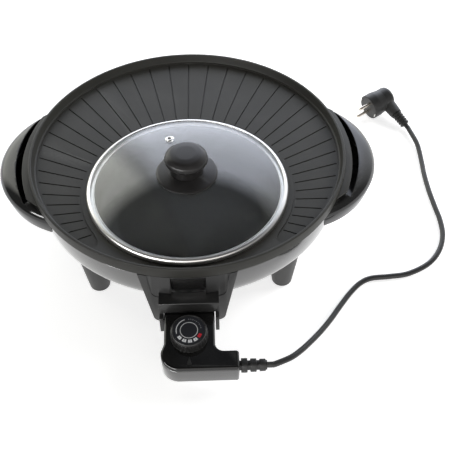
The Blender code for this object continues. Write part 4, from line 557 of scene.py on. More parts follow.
def glass_surface():
    """Clear tempered glass with faint smears on it."""
    material = bpy.data.materials.new("lid_glass")
    material.use_nodes = True
    tree = material.node_tree
    shader = tree.nodes["Principled BSDF"]
    shader.inputs["Transmission Weight"].default_value = 1.0
    shader.inputs["IOR"].default_value = 1.5
    field = use(tree, FINE_GRAIN, Scale=40.0, Patch_Scale=9.0)
    link(
        tree, (mix(tree, field["Patches"], (0.93, 0.95, 0.95), (0.97, 0.98, 0.98)), shader.inputs["Base Color"]),
        (spread(tree, field["Patches"], 0.0, 0.012), shader.inputs["Roughness"]),
    )
    bump(tree, shader, field["Height"], 0.000002, 0.02)
    return material


COATING = surface(
    "nonstick_coating", (0.031, 0.0305, 0.0275), (0.040, 0.0395, 0.0350), (0.36, 0.50), grain=1700.0, patches=18.0,
    depth=0.00004, dust=0.08, wear=0.30, Specular_IOR_Level=0.22,
)
GLOSS = surface(
    "gloss_black_plastic", (0.0045, 0.0045, 0.0045), (0.008, 0.008, 0.008), (0.06, 0.13), grain=140.0,
    patches=26.0, depth=0.00002, dust=0.05, wear=0.18,
)
BOWL_LACQUER = surface(
    "bowl_lacquer", (0.010, 0.010, 0.010), (0.016, 0.016, 0.016), (0.09, 0.17), grain=140.0, patches=26.0,
    depth=0.00002, dust=0.05, wear=0.18, Specular_IOR_Level=1.0, Coat_Weight=1.0, Coat_Roughness=0.06,
)
SATIN = surface(
    "satin_black_plastic", (0.012, 0.012, 0.012), (0.020, 0.020, 0.020), (0.24, 0.36), grain=1100.0,
    depth=0.00002, dust=0.05, wear=0.2,
)
LEG_PLASTIC = surface(
    "leg_plastic", (0.026, 0.026, 0.026), (0.036, 0.036, 0.036), (0.42, 0.55), grain=1300.0, depth=0.00003,
)
KNOB_PLASTIC = surface(
    "knob_phenolic", (0.016, 0.015, 0.015), (0.021, 0.020, 0.020), (0.26, 0.34), grain=1500.0, patches=30.0,
    depth=0.00002, dust=0.04, wear=0.20, Specular_IOR_Level=0.35,
)
RUBBER = surface(
    "pad_rubber", (0.016, 0.016, 0.016), (0.024, 0.024, 0.024), (0.70, 0.85), grain=800.0, depth=0.00004,
)
CORD_RUBBER = surface(
    "cord_sheath", (0.014, 0.014, 0.014), (0.022, 0.022, 0.022), (0.34, 0.46), grain=1500.0, patches=40.0,
    depth=0.00002, dust=0.10,
)
CERAMIC = surface(
    "steatite", (0.72, 0.70, 0.64), (0.62, 0.59, 0.52), (0.45, 0.60), grain=900.0, depth=0.00003, dust=0.0,
    wear=0.0,
)
STEEL = steel_surface("polished_steel", (0.74, 0.72, 0.68), LID_PLACE, (0.14, 0.26))
BRIGHT_STEEL = steel_surface("bright_steel_band", (0.88, 0.87, 0.84), LID_PLACE, (0.24, 0.38))
ALUMINIUM = steel_surface("aluminium_sheet", (0.78, 0.78, 0.78), LID_PLACE, (0.25, 0.42), 1400.0)
NICKEL = steel_surface("nickel_pin", (0.80, 0.74, 0.66), LID_PLACE, (0.20, 0.32))
BRASS = steel_surface("brass", (0.76, 0.56, 0.26), (0.0, -0.195, 0.0), (0.22, 0.38))
GLASS = glass_surface()
WHITE_PRINT = surface(
    "white_print", (0.72, 0.73, 0.74), (0.62, 0.63, 0.64), (0.40, 0.52), grain=2200.0, dust=0.0, wear=0.0,
)
RED_PRINT = surface(
    "red_print", (0.62, 0.015, 0.03), (0.52, 0.012, 0.025), (0.40, 0.52), grain=2200.0, dust=0.0, wear=0.0,
)
DISC = surface(
    "dial_disc_black", (0.010, 0.011, 0.014), (0.016, 0.017, 0.022), (0.28, 0.40), grain=1500.0, dust=0.04,
)


def give(piece, material, body=None, nodes=()):
    """Finish a piece: its surface, the body it rides on and what it stands for."""
    piece.data.materials.clear()
    piece.data.materials.append(material)
    if body:
        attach(piece, body)
    if nodes:
        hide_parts(*nodes)
    return piece


# Pan

WELL_Y = LID_PLACE[1]
FAN_Y = PAN_Y - 0.082
CRESCENT_OUTER = 0.187
CRESCENT_INNER = 0.1265
CRESCENT_HALF = math.radians(123.0)
CRESCENT_END = math.radians(9.0)
CRESCENT_FULLNESS = 2.2
GROOVE_STEP = math.radians(6.0)
GROOVES_EACH_SIDE = 19
GROOVE_HALF = 0.0010
GROOVE_MARGIN = 0.0022
GROOVE_FLOOR_SHARE = 0.55


def ray_to_circle(heading, centre_y, radius):
    """How far a ray from the fan's centre runs before it leaves a circle."""
    offset = FAN_Y - centre_y
    along = offset * math.sin(heading)
    return -along + math.sqrt(along ** 2 - offset ** 2 + radius ** 2)


def fan_span(heading):
    """Where the crescent begins and ends along one ray of the fan."""
    return ray_to_circle(heading, WELL_Y, CRESCENT_INNER), ray_to_circle(heading, PAN_Y, CRESCENT_OUTER)


def crescent_outline(steps=150, end_steps=12):
    ends = [
        CRESCENT_HALF - CRESCENT_END * (1 - math.sin(QUARTER * i / end_steps)) for i in range(end_steps + 1)
    ]
    middle = [(CRESCENT_HALF - CRESCENT_END) * (2 * i / steps - 1) for i in range(steps + 1)]
    outside = []
    inside = []
    for swing in [-a for a in reversed(ends)] + middle[1:-1] + ends:
        heading = QUARTER - swing
        inner, outer = fan_span(heading)
        into_end = max(0.0, (abs(swing) - CRESCENT_HALF + CRESCENT_END) / CRESCENT_END)
        half = (outer - inner) / 2 * math.sqrt(max(0.0, 1 - into_end ** CRESCENT_FULLNESS))
        for border, reach in ((outside, (outer + inner) / 2 + half), (inside, (outer + inner) / 2 - half)):
            border.append((reach * math.cos(heading), FAN_Y + reach * math.sin(heading)))
    return outside + inside[-2:0:-1]


def groove_tool(heading, floor):
    """A channel with round ends and leaning sides, along one ray of the fan."""
    inner, outer = fan_span(heading)
    start = inner + GROOVE_MARGIN
    end = outer - GROOVE_MARGIN
    outline = arc((start + GROOVE_HALF, 0.0), GROOVE_HALF, QUARTER, 3 * QUARTER, 6) + arc(
        (end - GROOVE_HALF, 0.0), GROOVE_HALF, -QUARTER, QUARTER, 6
    )
    tool = traced("groove", outline, floor - 0.0012, floor + 0.0006)
    edit(tool)
    bpy.ops.mesh.select_all(action="DESELECT")
    bpy.ops.object.mode_set(mode="OBJECT")
    for vert in tool.data.vertices:
        vert.select = vert.co.z < floor
    bpy.ops.object.mode_set(mode="EDIT")
    bpy.ops.transform.resize(value=(1.0, GROOVE_FLOOR_SHARE, 1.0), center_override=((start + end) / 2, 0.0, floor))
    bpy.ops.object.mode_set(mode="OBJECT")
    return put(tool, Matrix.Translation((0.0, FAN_Y, 0.0)) @ Matrix.Rotation(heading, 4, "Z"))


def lug_outline(heading, inner, room=0.0):
    """The lug beside a handle seen from above, with slanting ends."""
    tip = math.radians(21.5) + 3 * room / 0.195
    root = math.radians(28.0) + 3 * room / 0.195
    far = arc((0.0, PAN_Y), 0.2038 + room, heading - tip, heading + tip, 24)
    return far + arc((0.0, PAN_Y), inner, heading + root, heading - root, 24)


def make_pan():
    """The cast pan: rolled rim, crescent of fanned grooves, eccentric well, side lugs."""
    rim = bend([
        (0.0, -0.010, 0.0), (0.189, -0.010, 0.0022), (0.1915, 0.0, 0.0012), (0.195, 0.0, 0.0014),
        (0.195, -0.014, 0.0005), (0.192, -0.014, 0.0005), (0.192, -0.0102, 0.0), (0.189, -0.0135, 0.001),
        (0.0, -0.0135, 0.0),
    ])
    pan = turned("cast_pan", rim, ROUND, PAN)
    seat = bend([(0.0, -0.009, 0.0), (0.1165, -0.009, 0.0010), (0.1178, -0.0115, 0.0)], 4)
    body = seat + bend([
        (0.1145, -0.0118, 0.0), (0.1145, -0.030, 0.0), (0.1145, -0.0500, 0.014), (0.0900, -0.0585, 0.012),
        (0.0, -0.0585, 0.0),
    ], 8)
    cut(pan, turned("well_body", body, LID_ROUND, LID_PLACE), "UNION")
    for heading in (0.0, math.pi):
        lug = traced("lug", lug_outline(heading, 0.19275), RIM_Z - 0.0105, RIM_Z - 0.0075)
        cut(pan, soften(lug, 0.0008), "UNION")
    cavity = bend([
        (0.0, 0.0, 0.0), (0.1122, 0.0, 0.0), (0.1122, -0.0092, 0.0), (0.1110, -0.0108, 0.0),
        (0.1110, -0.0455, 0.016), (0.0880, -0.0550, 0.014), (0.0, -0.0550, 0.0),
    ], 10)
    cut(pan, turned("well_cavity", cavity, LID_ROUND, LID_PLACE))
    floor = RIM_Z - 0.0116
    cut(pan, traced("crescent", crescent_outline(), floor, RIM_Z - 0.008))
    places = range(-GROOVES_EACH_SIDE, GROOVES_EACH_SIDE + 1)
    grooves = [groove_tool(QUARTER + i * GROOVE_STEP, floor) for i in places]
    cut(pan, join("grooves", grooves))
    return smooth(pan, 28.0)


give(make_pan(), COATING, "base", ["grill_pan"])


# Bowl and legs


def bowl_line(offset=0.0, steps=14):
    """The bowl's outer side, from its lip round its edge to its flat floor."""
    side_top = -0.0206
    turns = [QUARTER * i / steps for i in range(steps)]
    bulge = [
        (0.185 + 0.0056 * math.cos(turn), side_top - (side_top + 0.056) * math.sin(turn)) for turn in turns
    ]
    corner = arc((0.179, -0.056), 0.006, 0.0, -QUARTER, 6)
    groove = [(0.1912, -0.0152), (0.1912, -0.0194), (0.1900, -0.0200)]
    line = groove + bulge + corner + [(0.150, -0.0740)]
    return [(r + offset, z - offset / 2) for r, z in line]


def bowl_solid(name, offset):
    outer = bowl_line(offset)
    line = [(0.0, 0.002), (outer[0][0], 0.002)] + outer + [(0.0, outer[-1][1])]
    return turned(name, line, ROUND, PAN)


def make_bowl():
    outer = bowl_line()
    inner = [(r - 0.0028, z) for r, z in outer[3:-7]] + [(0.1770, -0.0590), (0.150, -0.0712), (0.0, -0.0712)]
    top = [(0.183, -0.0194), (0.183, -0.0138), (0.187, -0.0138), (0.1877, -0.0148), (0.1907, -0.0150)]
    profile = [(0.0, -0.0740)] + outer[::-1] + top[::-1] + inner
    bowl = turned("outer_bowl", profile, ROUND, PAN)
    cut(bowl, block("window", (0.0586, 0.060, 0.0279), (0.0, PAN_Y - 0.168, RIM_Z - 0.0724)))
    vents = []
    for i in (0, 1, 2, 3, 4, 7):
        heading = FULL * (i + 0.5) / 8
        vent = traced("vent", arc((0.1095, 0.0), 0.0025, QUARTER, 3 * QUARTER, 6) + arc(
            (0.1305, 0.0), 0.0025, -QUARTER, QUARTER, 6), -0.006, 0.006)
        put(vent, Matrix.Translation((0.0, PAN_Y, RIM_Z - 0.0712)) @ Matrix.Rotation(heading, 4, "Z"))
        vents.append(vent)
    cut(bowl, join("vents", vents))
    return smooth(bowl, 25.0)


def make_leg(x, y):
    """One tapered post with a rounded foot, shaped to the bowl above it."""
    profile = bend([
        (0.0, -0.060, 0.0), (0.0188, -0.060, 0.0), (0.0122, -0.1138, 0.002), (0.0090, -0.1138, 0.0),
        (0.0090, -0.1122, 0.0), (0.0, -0.1122, 0.0),
    ])
    post = turned("leg", profile, SMALL_ROUND, (x, PAN_Y + y, RIM_Z))
    cut(post, bowl_solid("keepout", GAP))
    return smooth(post)


LEG_REACH = 0.165
LEG_TURN = math.radians(47.0)
give(make_bowl(), BOWL_LACQUER, "base", ["base_bowl"])
for end, y_side in (("front", -1), ("rear", 1)):
    for hand, x_side in (("left", -1), ("right", 1)):
        post = make_leg(x_side * LEG_REACH * math.cos(LEG_TURN), y_side * LEG_REACH * math.sin(LEG_TURN))
        post.name = "post_" + end + "_" + hand
        give(post, LEG_PLASTIC, "base", [end + "_" + hand + "_leg"])


# Ears


def ear_body(name, side, wall):
    """A round body whose brow rolls over to a side that draws in to its floor."""
    steps = 12
    reach = 0.025 - wall
    fall = 0.0145 - wall
    brow = [(0.085 + reach * math.sin(QUARTER * i / steps), -0.023 + fall * math.cos(QUARTER * i / steps))
            for i in range(steps + 1)]
    low = wall - 0.042
    foot = bend([(0.110 - wall, -0.023, 0.0), (0.106 - wall, low, 0.0028), (0.0, low, 0.0)], 5)
    return turned(name, [(0.0, -0.0085 - wall)] + brow + foot[1:], ROUND, (side * 0.124, PAN_Y, RIM_Z))


def slot_outline(heading, inner):
    """The finger slot seen from above: widest in its middle."""
    half = math.radians(22.0)
    turns = [half * (2 * i / 30 - 1) for i in range(31)]
    far = []
    for turn in turns:
        reach = 0.040 * math.cos(turn) + math.sqrt(0.172 ** 2 - (0.040 * math.sin(turn)) ** 2)
        far.append((reach * math.cos(heading + turn), PAN_Y + reach * math.sin(heading + turn)))
    return far + arc((0.0, PAN_Y), inner, heading + half, heading - half, 30)


def make_ear(side):
    """A hollow crescent ear, closed below, with a finger slot beside the pan's lug."""
    heading = 0.0 if side > 0 else math.pi
    ear = ear_body("ear", side, 0.0)
    hollow = ear_body("hollow", side, 0.003)
    wall = [(0.0, 0.002), (0.1983, 0.002), (0.1983, -0.080), (0.0, -0.080)]
    cut(hollow, turned("ear_back", wall, ROUND, PAN))
    cut(ear, hollow)
    cut(ear, traced("slot", slot_outline(heading, 0.1968), RIM_Z - 0.023, RIM_Z + 0.002))
    cut(ear, traced("lug_room", lug_outline(heading, 0.192, GAP), RIM_Z - 0.0108, RIM_Z + 0.002))
    cut(ear, bowl_solid("keepout", GAP))
    room = turned("rim_room", [(0.0, 0.002), (0.1953, 0.002), (0.1953, -0.0143), (0.0, -0.0143)], ROUND, PAN)
    cut(ear, room)
    for turn in (-1, 1):
        swing = heading + turn * math.radians(8.0)
        ahead = Vector((math.cos(swing), math.sin(swing), 0.0))
        start = Vector((0.0, PAN_Y, RIM_Z - 0.031)) + ahead * 0.185
        cut(ear, rod("screw_hole", 0.0020, start, start + ahead * 0.0088, 24))
    return smooth(soften(ear, 0.0009, 3, 50.0), 35.0)


for side, hand in ((-1, "left"), (1, "right")):
    ear = make_ear(side)
    ear.name = "ear_" + hand
    give(ear, GLOSS, "base", [hand + "_handle"])


# Lid

GLASS_EDGE = 0.1190
GLASS_EDGE_TOP = -0.0037
LID_RISE = 0.0215
DOME_RADIUS = (GLASS_EDGE ** 2 + LID_RISE ** 2) / (2 * LID_RISE)


def dome(radius):
    """Height of the glass's upper side at a radius from the lid's axis."""
    return GLASS_EDGE_TOP + LID_RISE - DOME_RADIUS + math.sqrt(DOME_RADIUS ** 2 - radius ** 2)


def vent_seat():
    """Place and tilt of the steam vent, square to the dome."""
    x, y = (-0.022, 0.067)
    radius = math.hypot(x, y)
    tilt = Matrix.Rotation(math.asin(radius / DOME_RADIUS), 4, Vector((-y, x, 0.0)).normalized())
    return Matrix.Translation((x, WELL_Y + y, RIM_Z + dome(radius))) @ tilt


def make_glass():
    steps = 26
    radii = [0.004 + (GLASS_EDGE - 0.0005 - 0.004) * i / steps for i in range(steps + 1)]
    upper = [(r, dome(r)) for r in radii]
    edge = [(GLASS_EDGE, dome(GLASS_EDGE) - 0.0006), (GLASS_EDGE, dome(GLASS_EDGE) - 0.0034)]
    lower = [(r, dome(r) - 0.004) for r in reversed(radii)]
    glass = turned("domed_glass", upper + edge + lower, LID_ROUND, LID_PLACE, loop=True)
    hole = turned("hole", [(0.0, -0.008), (0.004, -0.008), (0.004, 0.004), (0.0, 0.004)], SMALL_ROUND)
    cut(glass, put(hole, vent_seat()))
    return smooth(glass, 30.0)


def make_band():
    """The folded steel channel round the glass: a rolled top, an upright side, a lower lip."""
    inside = 0.1150
    lift = 0.001
    low = -0.0087
    crown = dome(0.1160) + lift
    bead = arc((0.1160, crown - 0.0040), 0.0040, QUARTER, 0.0, 10)
    lip = ring_of([
        (0.120, low + 0.001, 0.0), (0.120, low, 0.0008), (0.1100, low, 0.0005), (0.1098, low + 0.0015, 0.0006),
        (0.1108, low + 0.0015, 0.0005), (0.1112, low + 0.0007, 0.0), (0.1193, low + 0.0007, 0.0),
        (0.1193, dome(0.119) + GAP, 0.0), (inside, dome(inside) + GAP, 0.0),
        (inside + 0.0002, dome(inside) + lift, 0.0004),
    ], 4)
    line = bead + lip
    return smooth(turned("steel_band", line, LID_ROUND, LID_PLACE, loop=True), 30.0)


FLANGE_RISE = 0.0052


def make_flange():
    foot = dome(0.036) + GAP
    crown = foot + FLANGE_RISE
    line = ring_of([
        (0.004, crown, 0.0), (0.0200, crown, 0.0003), (0.0225, crown - 0.0006, 0.002),
        (0.0342, foot + 0.0026, 0.004), (0.036, foot + 0.0012, 0.0006), (0.036, foot, 0.0003),
        (0.019, dome(0.019) + GAP, 0.0), (0.004, dome(0.004) + GAP, 0.0),
    ], 5)
    return smooth(turned("knob_skirt", line, KNOB_ROUND, LID_PLACE, loop=True), 30.0)


def make_knob():
    """A mushroom knob: straight neck, undercut, a nearly flat crown with a rolled edge."""
    low = dome(0.036) + FLANGE_RISE + 2 * GAP
    shoulder = dome(0.036) + 2 * GAP + 0.0197
    top = shoulder + 0.012
    line = bend([
        (0.0, top, 0.0), (0.0120, top - 0.0002, 0.03), (0.0195, top - 0.0012, 0.008), (0.0247, top - 0.0058, 0.005),
        (0.0255, shoulder + 0.0022, 0.0010), (0.0246, shoulder, 0.0008), (0.0208, shoulder, 0.0010),
        (0.0200, shoulder - 0.0010, 0.0006), (0.0195, low, 0.0003), (0.0025, low, 0.0), (0.0025, low + 0.015, 0.0),
        (0.0, low + 0.015, 0.0),
    ], 7)
    return smooth(turned("round_knob", line, KNOB_ROUND, LID_PLACE), 30.0)


def make_grommet():
    line = ring_of([
        (0.0025, 0.0012, 0.0004), (0.0038, 0.0014, 0.0005), (0.0055, 0.0008, 0.0002), (0.0055, GAP, 0.0),
        (0.0037, GAP, 0.0), (0.0037, -0.0043, 0.0), (0.0050, -0.0043, 0.0), (0.0050, -0.0050, 0.0002),
        (0.0025, -0.0050, 0.0002),
    ], 4)
    return smooth(put(turned("vent_eyelet", line, SMALL_ROUND, loop=True), vent_seat()))


give(make_glass(), GLASS, "lid", ["glass_lid"])
give(make_band(), BRIGHT_STEEL, "lid", ["lid_rim_band"])
give(make_flange(), KNOB_PLASTIC, "lid", ["knob_flange"])
give(make_knob(), KNOB_PLASTIC, "lid", ["lid_knob"])
give(make_grommet(), BRIGHT_STEEL, "lid", ["steam_vent_grommet"])


# Socket guard

UPRIGHT = Matrix.Rotation(QUARTER, 4, "X")
SIDEWAYS = Matrix(((0.0, 0.0, 1.0, 0.0), (1.0, 0.0, 0.0, 0.0), (0.0, 1.0, 0.0, 0.0), (0.0, 0.0, 0.0, 1.0)))
FRONT = -QUARTER


def from_front(name, corners, near, far):
    """An outline seen from the front, of (x, height, round), pushed through in Y."""
    return put(traced(name, ring_of(corners, 8), near, far), Matrix.Translation(PAN) @ UPRIGHT)


def make_guard():
    """A curved shield with a hood and two side arms for the control's nose."""
    outer = 0.1943
    inner = 0.1915
    near = inner - 0.055
    far = outer + 0.002
    wide = math.asin(0.055 / outer) * 1.2
    guard = traced("guard", sector(inner, outer, wide, FRONT, 60), RIM_Z - 0.0985, RIM_Z - 0.016)
    sides = [(-0.056, -0.014, 0.0), (0.0555, -0.014, 0.0), (0.0400, -0.0978, 0.007), (-0.0415, -0.0978, 0.007)]
    cut(guard, from_front("sides", sides, near, far), "INTERSECT")
    panel = traced("panel", sector(outer - 0.0007, outer + 0.002, wide, FRONT, 60), RIM_Z - 0.054, RIM_Z + 0.002)
    edge = [(-0.0475, 0.0, 0.0), (0.0475, 0.0, 0.0), (0.0415, -0.052, 0.007), (-0.0415, -0.052, 0.007)]
    cut(panel, from_front("panel_edge", edge, near, far + 0.002), "INTERSECT")
    cut(guard, panel)
    back = outer * math.cos(math.asin(0.0335 / outer)) - 0.0028
    hood = ring_of([
        (-0.214, -0.089, 0.0042), (-back, -0.089, 0.0), (-back, -0.044, 0.0), (-0.2075, -0.044, 0.0012),
        (-0.2075, -0.0615, 0.0), (-0.214, -0.0635, 0.0021),
    ], 6)
    arms = put(traced("hood", hood, -0.0335, 0.0335), Matrix.Translation(PAN) @ SIDEWAYS)
    core = arc((0.0, PAN_Y), 0.1929, -math.pi * 0.65, -math.pi * 0.35, 60) + [(0.0, PAN_Y)]
    cut(arms, traced("hood_back", core, RIM_Z - 0.096, RIM_Z))
    cut(guard, arms, "UNION")
    cut(guard, block("window", (0.039, far - near, 0.0255), (0.0, PAN_Y - (near + far) / 2, RIM_Z - 0.03125)))
    reach = 0.216 - near
    cut(guard, block("mouth", (0.0586, reach, 0.0385), (0.0, PAN_Y - near - reach / 2, RIM_Z - 0.07875)))
    return smooth(soften(guard, 0.0004, 2, 40.0), 30.0)


give(make_guard(), SATIN, "base", ["socket_guard"])


# Control

SLOPE = math.radians(6.0)
DIAL_REACH = 0.2355
DIAL_PLACE = Matrix.Translation((0.0, -0.195, 0.050215)) @ Matrix.Rotation(SLOPE, 4, "X")
DIAL_SEAT = Matrix.Translation((0.0, -DIAL_REACH, -0.064785)) @ Matrix.Rotation(SLOPE, 4, "X")
CASE_SCREWS = ((-0.0205, -0.2675), (0.015, -0.2675), (0.040, -0.26475))


def control_outline():
    """The control seen from above: nose, rounded shoulder and a side arm for the cord."""
    return ring_of([
        (-0.0282, -0.1900, 0.0), (-0.0282, -0.2440, 0.012), (-0.0316, -0.2530, 0.008), (-0.0316, -0.276, 0.0203),
        (0.054, -0.276, 0.0032), (0.054, -0.2535, 0.0032), (0.0282, -0.2535, 0.0095), (0.0282, -0.1900, 0.0),
    ], 12)


def make_cases():
    """Upper and lower case of the control, with a sloping top and softened edges."""
    relief = (0.0540 - 0.0043, -0.26475, -0.082)
    lower = traced("lower_case", control_outline(), -0.0945, -0.0743)
    soften(lower, 0.0016, 4, 50.0)
    upper = traced("upper_case", control_outline(), -0.080, -0.058)
    slope = block("slope", (0.3, 0.3, 0.08), (0.0, 0.0, 0.04))
    put(slope, DIAL_SEAT)
    cut(upper, slope)
    soften(upper, 0.0034, 7, 50.0)
    cut(upper, block("parting", (0.3, 0.6, 0.02), (0.0, -0.23, -0.084)))
    soften(upper, 0.0005, 2, 75.0)
    for case, low, high in ((lower, -0.092, -0.072), (upper, -0.076, -0.0702)):
        cut(case, block("cavity", (0.0514, 0.0675, high - low), (0.0, -0.22825, (high + low) / 2)))
        for x, y in CASE_SCREWS:
            cut(case, rod("screw_hole", 0.0019, (x, y, low - 0.004), (x, y, high), 24))
    cut(lower, rod("sleeve_seat", 0.0057, relief, (0.0570, -0.26475, -0.082)))
    for x, radius in ((-0.015, 0.0032), (0.015, 0.0032), (0.0, 0.0028)):
        cut(lower, rod("nose_hole", radius, (x, -0.188, -0.082), (x, -0.197, -0.082)))
    for x, y in CASE_SCREWS:
        cut(lower, rod("screw_well", 0.0031, (x, y, -0.0965), (x, y, -0.092)))
    spindle = rod("spindle_hole", 0.0029, (0.0, 0.0, -0.0212), (0.0, 0.0, 0.002))
    cut(upper, put(spindle, DIAL_SEAT))
    for case in (lower, upper):
        put(case, Matrix.Translation(PAN))
        smooth(case, 30.0)
    return lower, upper


def make_pointer():
    """The small raised mark that the dial is read against."""
    middle = -0.03045
    low = middle - 0.00475
    plan = ring_of([(0.0, middle + 0.00475, 0.0002), (-0.00275, low, 0.0006), (0.00275, low, 0.0006)], 3)
    mark = traced("pointer_mark", plan, 0.0, 0.001)
    return smooth(put(soften(mark, 0.0003), DIAL_PLACE @ Matrix.Translation((0.0, 0.0, -HAIR))))


def make_dial():
    """A knurled dial, its crown rolled over to a recess for the printed disc."""
    low = GAP
    knurls = 30
    per_knurl = 6
    profile = bend([
        (0.003, low, 0.0), (0.0209, low, 0.0004), (0.0212, low + 0.0006, 0.0003), (0.0203, low + 0.0105, 0.0003),
        (0.0190, low + 0.0111, 0.0006), (0.0186, low + 0.0125, 0.0009), (0.0176, low + 0.0125, 0.0005),
        (0.0175, low + 0.0115, 0.0), (0.0, low + 0.0115, 0.0),
    ], 4)
    inside = [(0.0, low + 0.006), (0.003, low + 0.006)]
    dial = turned("knurled_dial", inside + profile, knurls * per_knurl)
    edit(dial, "FACE")
    bpy.ops.mesh.select_all(action="DESELECT")
    bpy.ops.object.mode_set(mode="OBJECT")
    for face in dial.data.polygons:
        middle = face.center
        turn = math.degrees(math.atan2(middle.y, middle.x)) % (360 / knurls)
        outside = math.hypot(middle.x, middle.y) > 0.0202 and low + 0.0004 < middle.z < low + 0.0108
        face.select = outside and turn < 360 / knurls / 3
    bpy.ops.object.mode_set(mode="EDIT")
    bpy.ops.transform.resize(value=(0.968, 0.968, 1.0), center_override=(0.0, 0.0, 0.0))
    bpy.ops.object.mode_set(mode="OBJECT")
    return smooth(put(dial, DIAL_PLACE), 28.0)


DISC_TOP = GAP + 0.0125 - 0.001 + GAP + 0.0006
PRINT = 0.00006
SETTINGS = 5
FIRST_BOX = 221.0
BOX_STEP = 27.0
BOX_HALF = 9.0
BOX_INNER = 0.0117
BOX_OUTER = 0.0152


def make_disc():
    disc = turned("printed_disc", bend([
        (0.0, DISC_TOP - 0.0006, 0.0), (0.0172, DISC_TOP - 0.0006, 0.0), (0.0172, DISC_TOP, 0.0002),
        (0.0166, DISC_TOP, 0.0), (0.0, DISC_TOP, 0.0),
    ], 3), KNOB_ROUND)
    return smooth(put(disc, DIAL_PLACE))


def dial_mark(name, inner, outer, start, end, steps=16):
    """A printed patch between two radii of the disc, angles in degrees from +X."""
    plan = arc((0.0, 0.0), outer, math.radians(start), math.radians(end), steps)
    plan += arc((0.0, 0.0), inner, math.radians(end), math.radians(start), steps)
    return traced(name, plan, DISC_TOP, DISC_TOP + PRINT)


def make_marks():
    """The print: an inner ring, a long arc, ticks, and boxes for the five settings."""
    ring = turned(
        "ring", [(0.0092, DISC_TOP), (0.0098, DISC_TOP), (0.0098, DISC_TOP + PRINT), (0.0092, DISC_TOP + PRINT)],
        KNOB_ROUND, loop=True,
    )
    white = [ring, dial_mark("arc", 0.0135, 0.0143, 110.0, 196.0, 30)]
    for i in range(9):
        white.append(dial_mark("tick", 0.0133 if i % 2 else 0.0127, 0.0140, 92.0 - i * 10.0, 91.0 - i * 10.0, 2))
    for i in range(SETTINGS - 1):
        centre = FIRST_BOX + i * BOX_STEP
        white.append(dial_mark("box", BOX_INNER, BOX_OUTER, centre - BOX_HALF, centre + BOX_HALF))
    last = FIRST_BOX + (SETTINGS - 1) * BOX_STEP
    red = dial_mark("hot_box", BOX_INNER, BOX_OUTER, last - BOX_HALF, last + BOX_HALF + 2.0)
    digits = []
    for i in range(SETTINGS):
        turn = math.radians(FIRST_BOX + i * BOX_STEP)
        rest()
        bpy.ops.object.text_add()
        text = bpy.context.object
        text.data.body = str(i + 1)
        text.data.size = 0.0031
        text.data.align_x = "CENTER"
        text.data.align_y = "CENTER"
        text.data.extrude = PRINT / 2
        bpy.ops.object.convert(target="MESH")
        place = Matrix.Translation((0.01345 * math.cos(turn), 0.01345 * math.sin(turn), DISC_TOP + PRINT))
        digits.append(put(bpy.context.object, place @ Matrix.Rotation(turn + QUARTER, 4, "Z")))
    marks = []
    for name, pieces, material in (
        ("white_marks", white, WHITE_PRINT), ("hot_mark", [red], RED_PRINT), ("setting_digits", digits, DISC)
    ):
        joined = join(name, pieces)
        put(joined, DIAL_PLACE)
        marks.append(give(joined, material, "dial", ()))
    return marks


def ribbed(name, length, core, first, last, ribs, share, seat):
    """A cord sleeve: rounded ribs that shrink towards the tip."""
    pitch = length / ribs
    corners = [(0.0, -seat, 0.0), (core, -seat, 0.0)]
    for i in range(ribs):
        rib = first + (last - first) * i / (ribs - 1)
        low = (i + (1 - share) / 2) * pitch
        high = (i + (1 + share) / 2) * pitch
        corners += [(core, low, 0.0), (rib, low, 0.0006), (rib, high, 0.0006), (core, high, 0.0)]
    corners += [(core, length, 0.0003), (0.0, length, 0.0)]
    return turned(name, bend(corners, 4), SMALL_ROUND)


def make_relief():
    sleeve = ribbed("cord_sleeve", RELIEF_LENGTH, 0.0054, 0.0080, 0.0068, 3, 0.68, 0.004)
    return smooth(put(sleeve, Matrix.Translation(RELIEF_START) @ Matrix.Rotation(QUARTER, 4, "Y")))


lower_case, upper_case = make_cases()
give(lower_case, BOWL_LACQUER, "control", ["controller_lower_case"])
give(upper_case, GLOSS, "control", ["controller_upper_case"])
give(make_pointer(), SATIN, "control", ())
give(make_dial(), SATIN, "dial", ["controller_dial"])
give(make_disc(), DISC, "dial", ["dial_face_disc"])
make_marks()
give(make_relief(), CORD_RUBBER, "control", ["strain_relief"])


# Plug


def make_plug():
    """A moulded angled plug: round body, neck to one side, ribbed sleeve."""
    body = turned("angled_plug", bend([
        (0.0, 0.0, 0.0), (0.0184, 0.0, 0.0012), (0.0184, -0.0120, 0.006), (0.0165, -0.0240, 0.006),
        (0.0165, -0.0385, 0.007), (0.0080, -0.0400, 0.004), (0.0, -0.0400, 0.0),
    ], 6), KNOB_ROUND)
    put(body, Matrix.Rotation(QUARTER, 4, "Y"))
    neck = rod("neck", 0.0110, (-PLUG_SETBACK, 0.0, 0.0), (-PLUG_SETBACK, 0.031, 0.0), SMALL_ROUND, 0.0085)
    cut(body, neck, "UNION")
    sleeve = ribbed("sleeve", 0.022, 0.0050, 0.0076, 0.00684, 5, 0.5, 0.002)
    put(sleeve, Matrix.Translation((-PLUG_SETBACK, 0.031, 0.0)) @ Matrix.Rotation(-QUARTER, 4, "X"))
    cut(body, sleeve, "UNION")
    for z in (-0.0095, 0.0095):
        cut(body, rod("pin_seat", 0.0027, (-0.0043, 0.0, z), (0.002, 0.0, z)))
    for y in (-0.0162, 0.0162):
        cut(body, block("clip_seat", (0.0086, 0.0018, 0.0071), (-0.0028, y, 0.0)))
    soften(body, 0.0004, 2, 45.0)
    return smooth(put(body, PLUG_PLACE), 35.0)


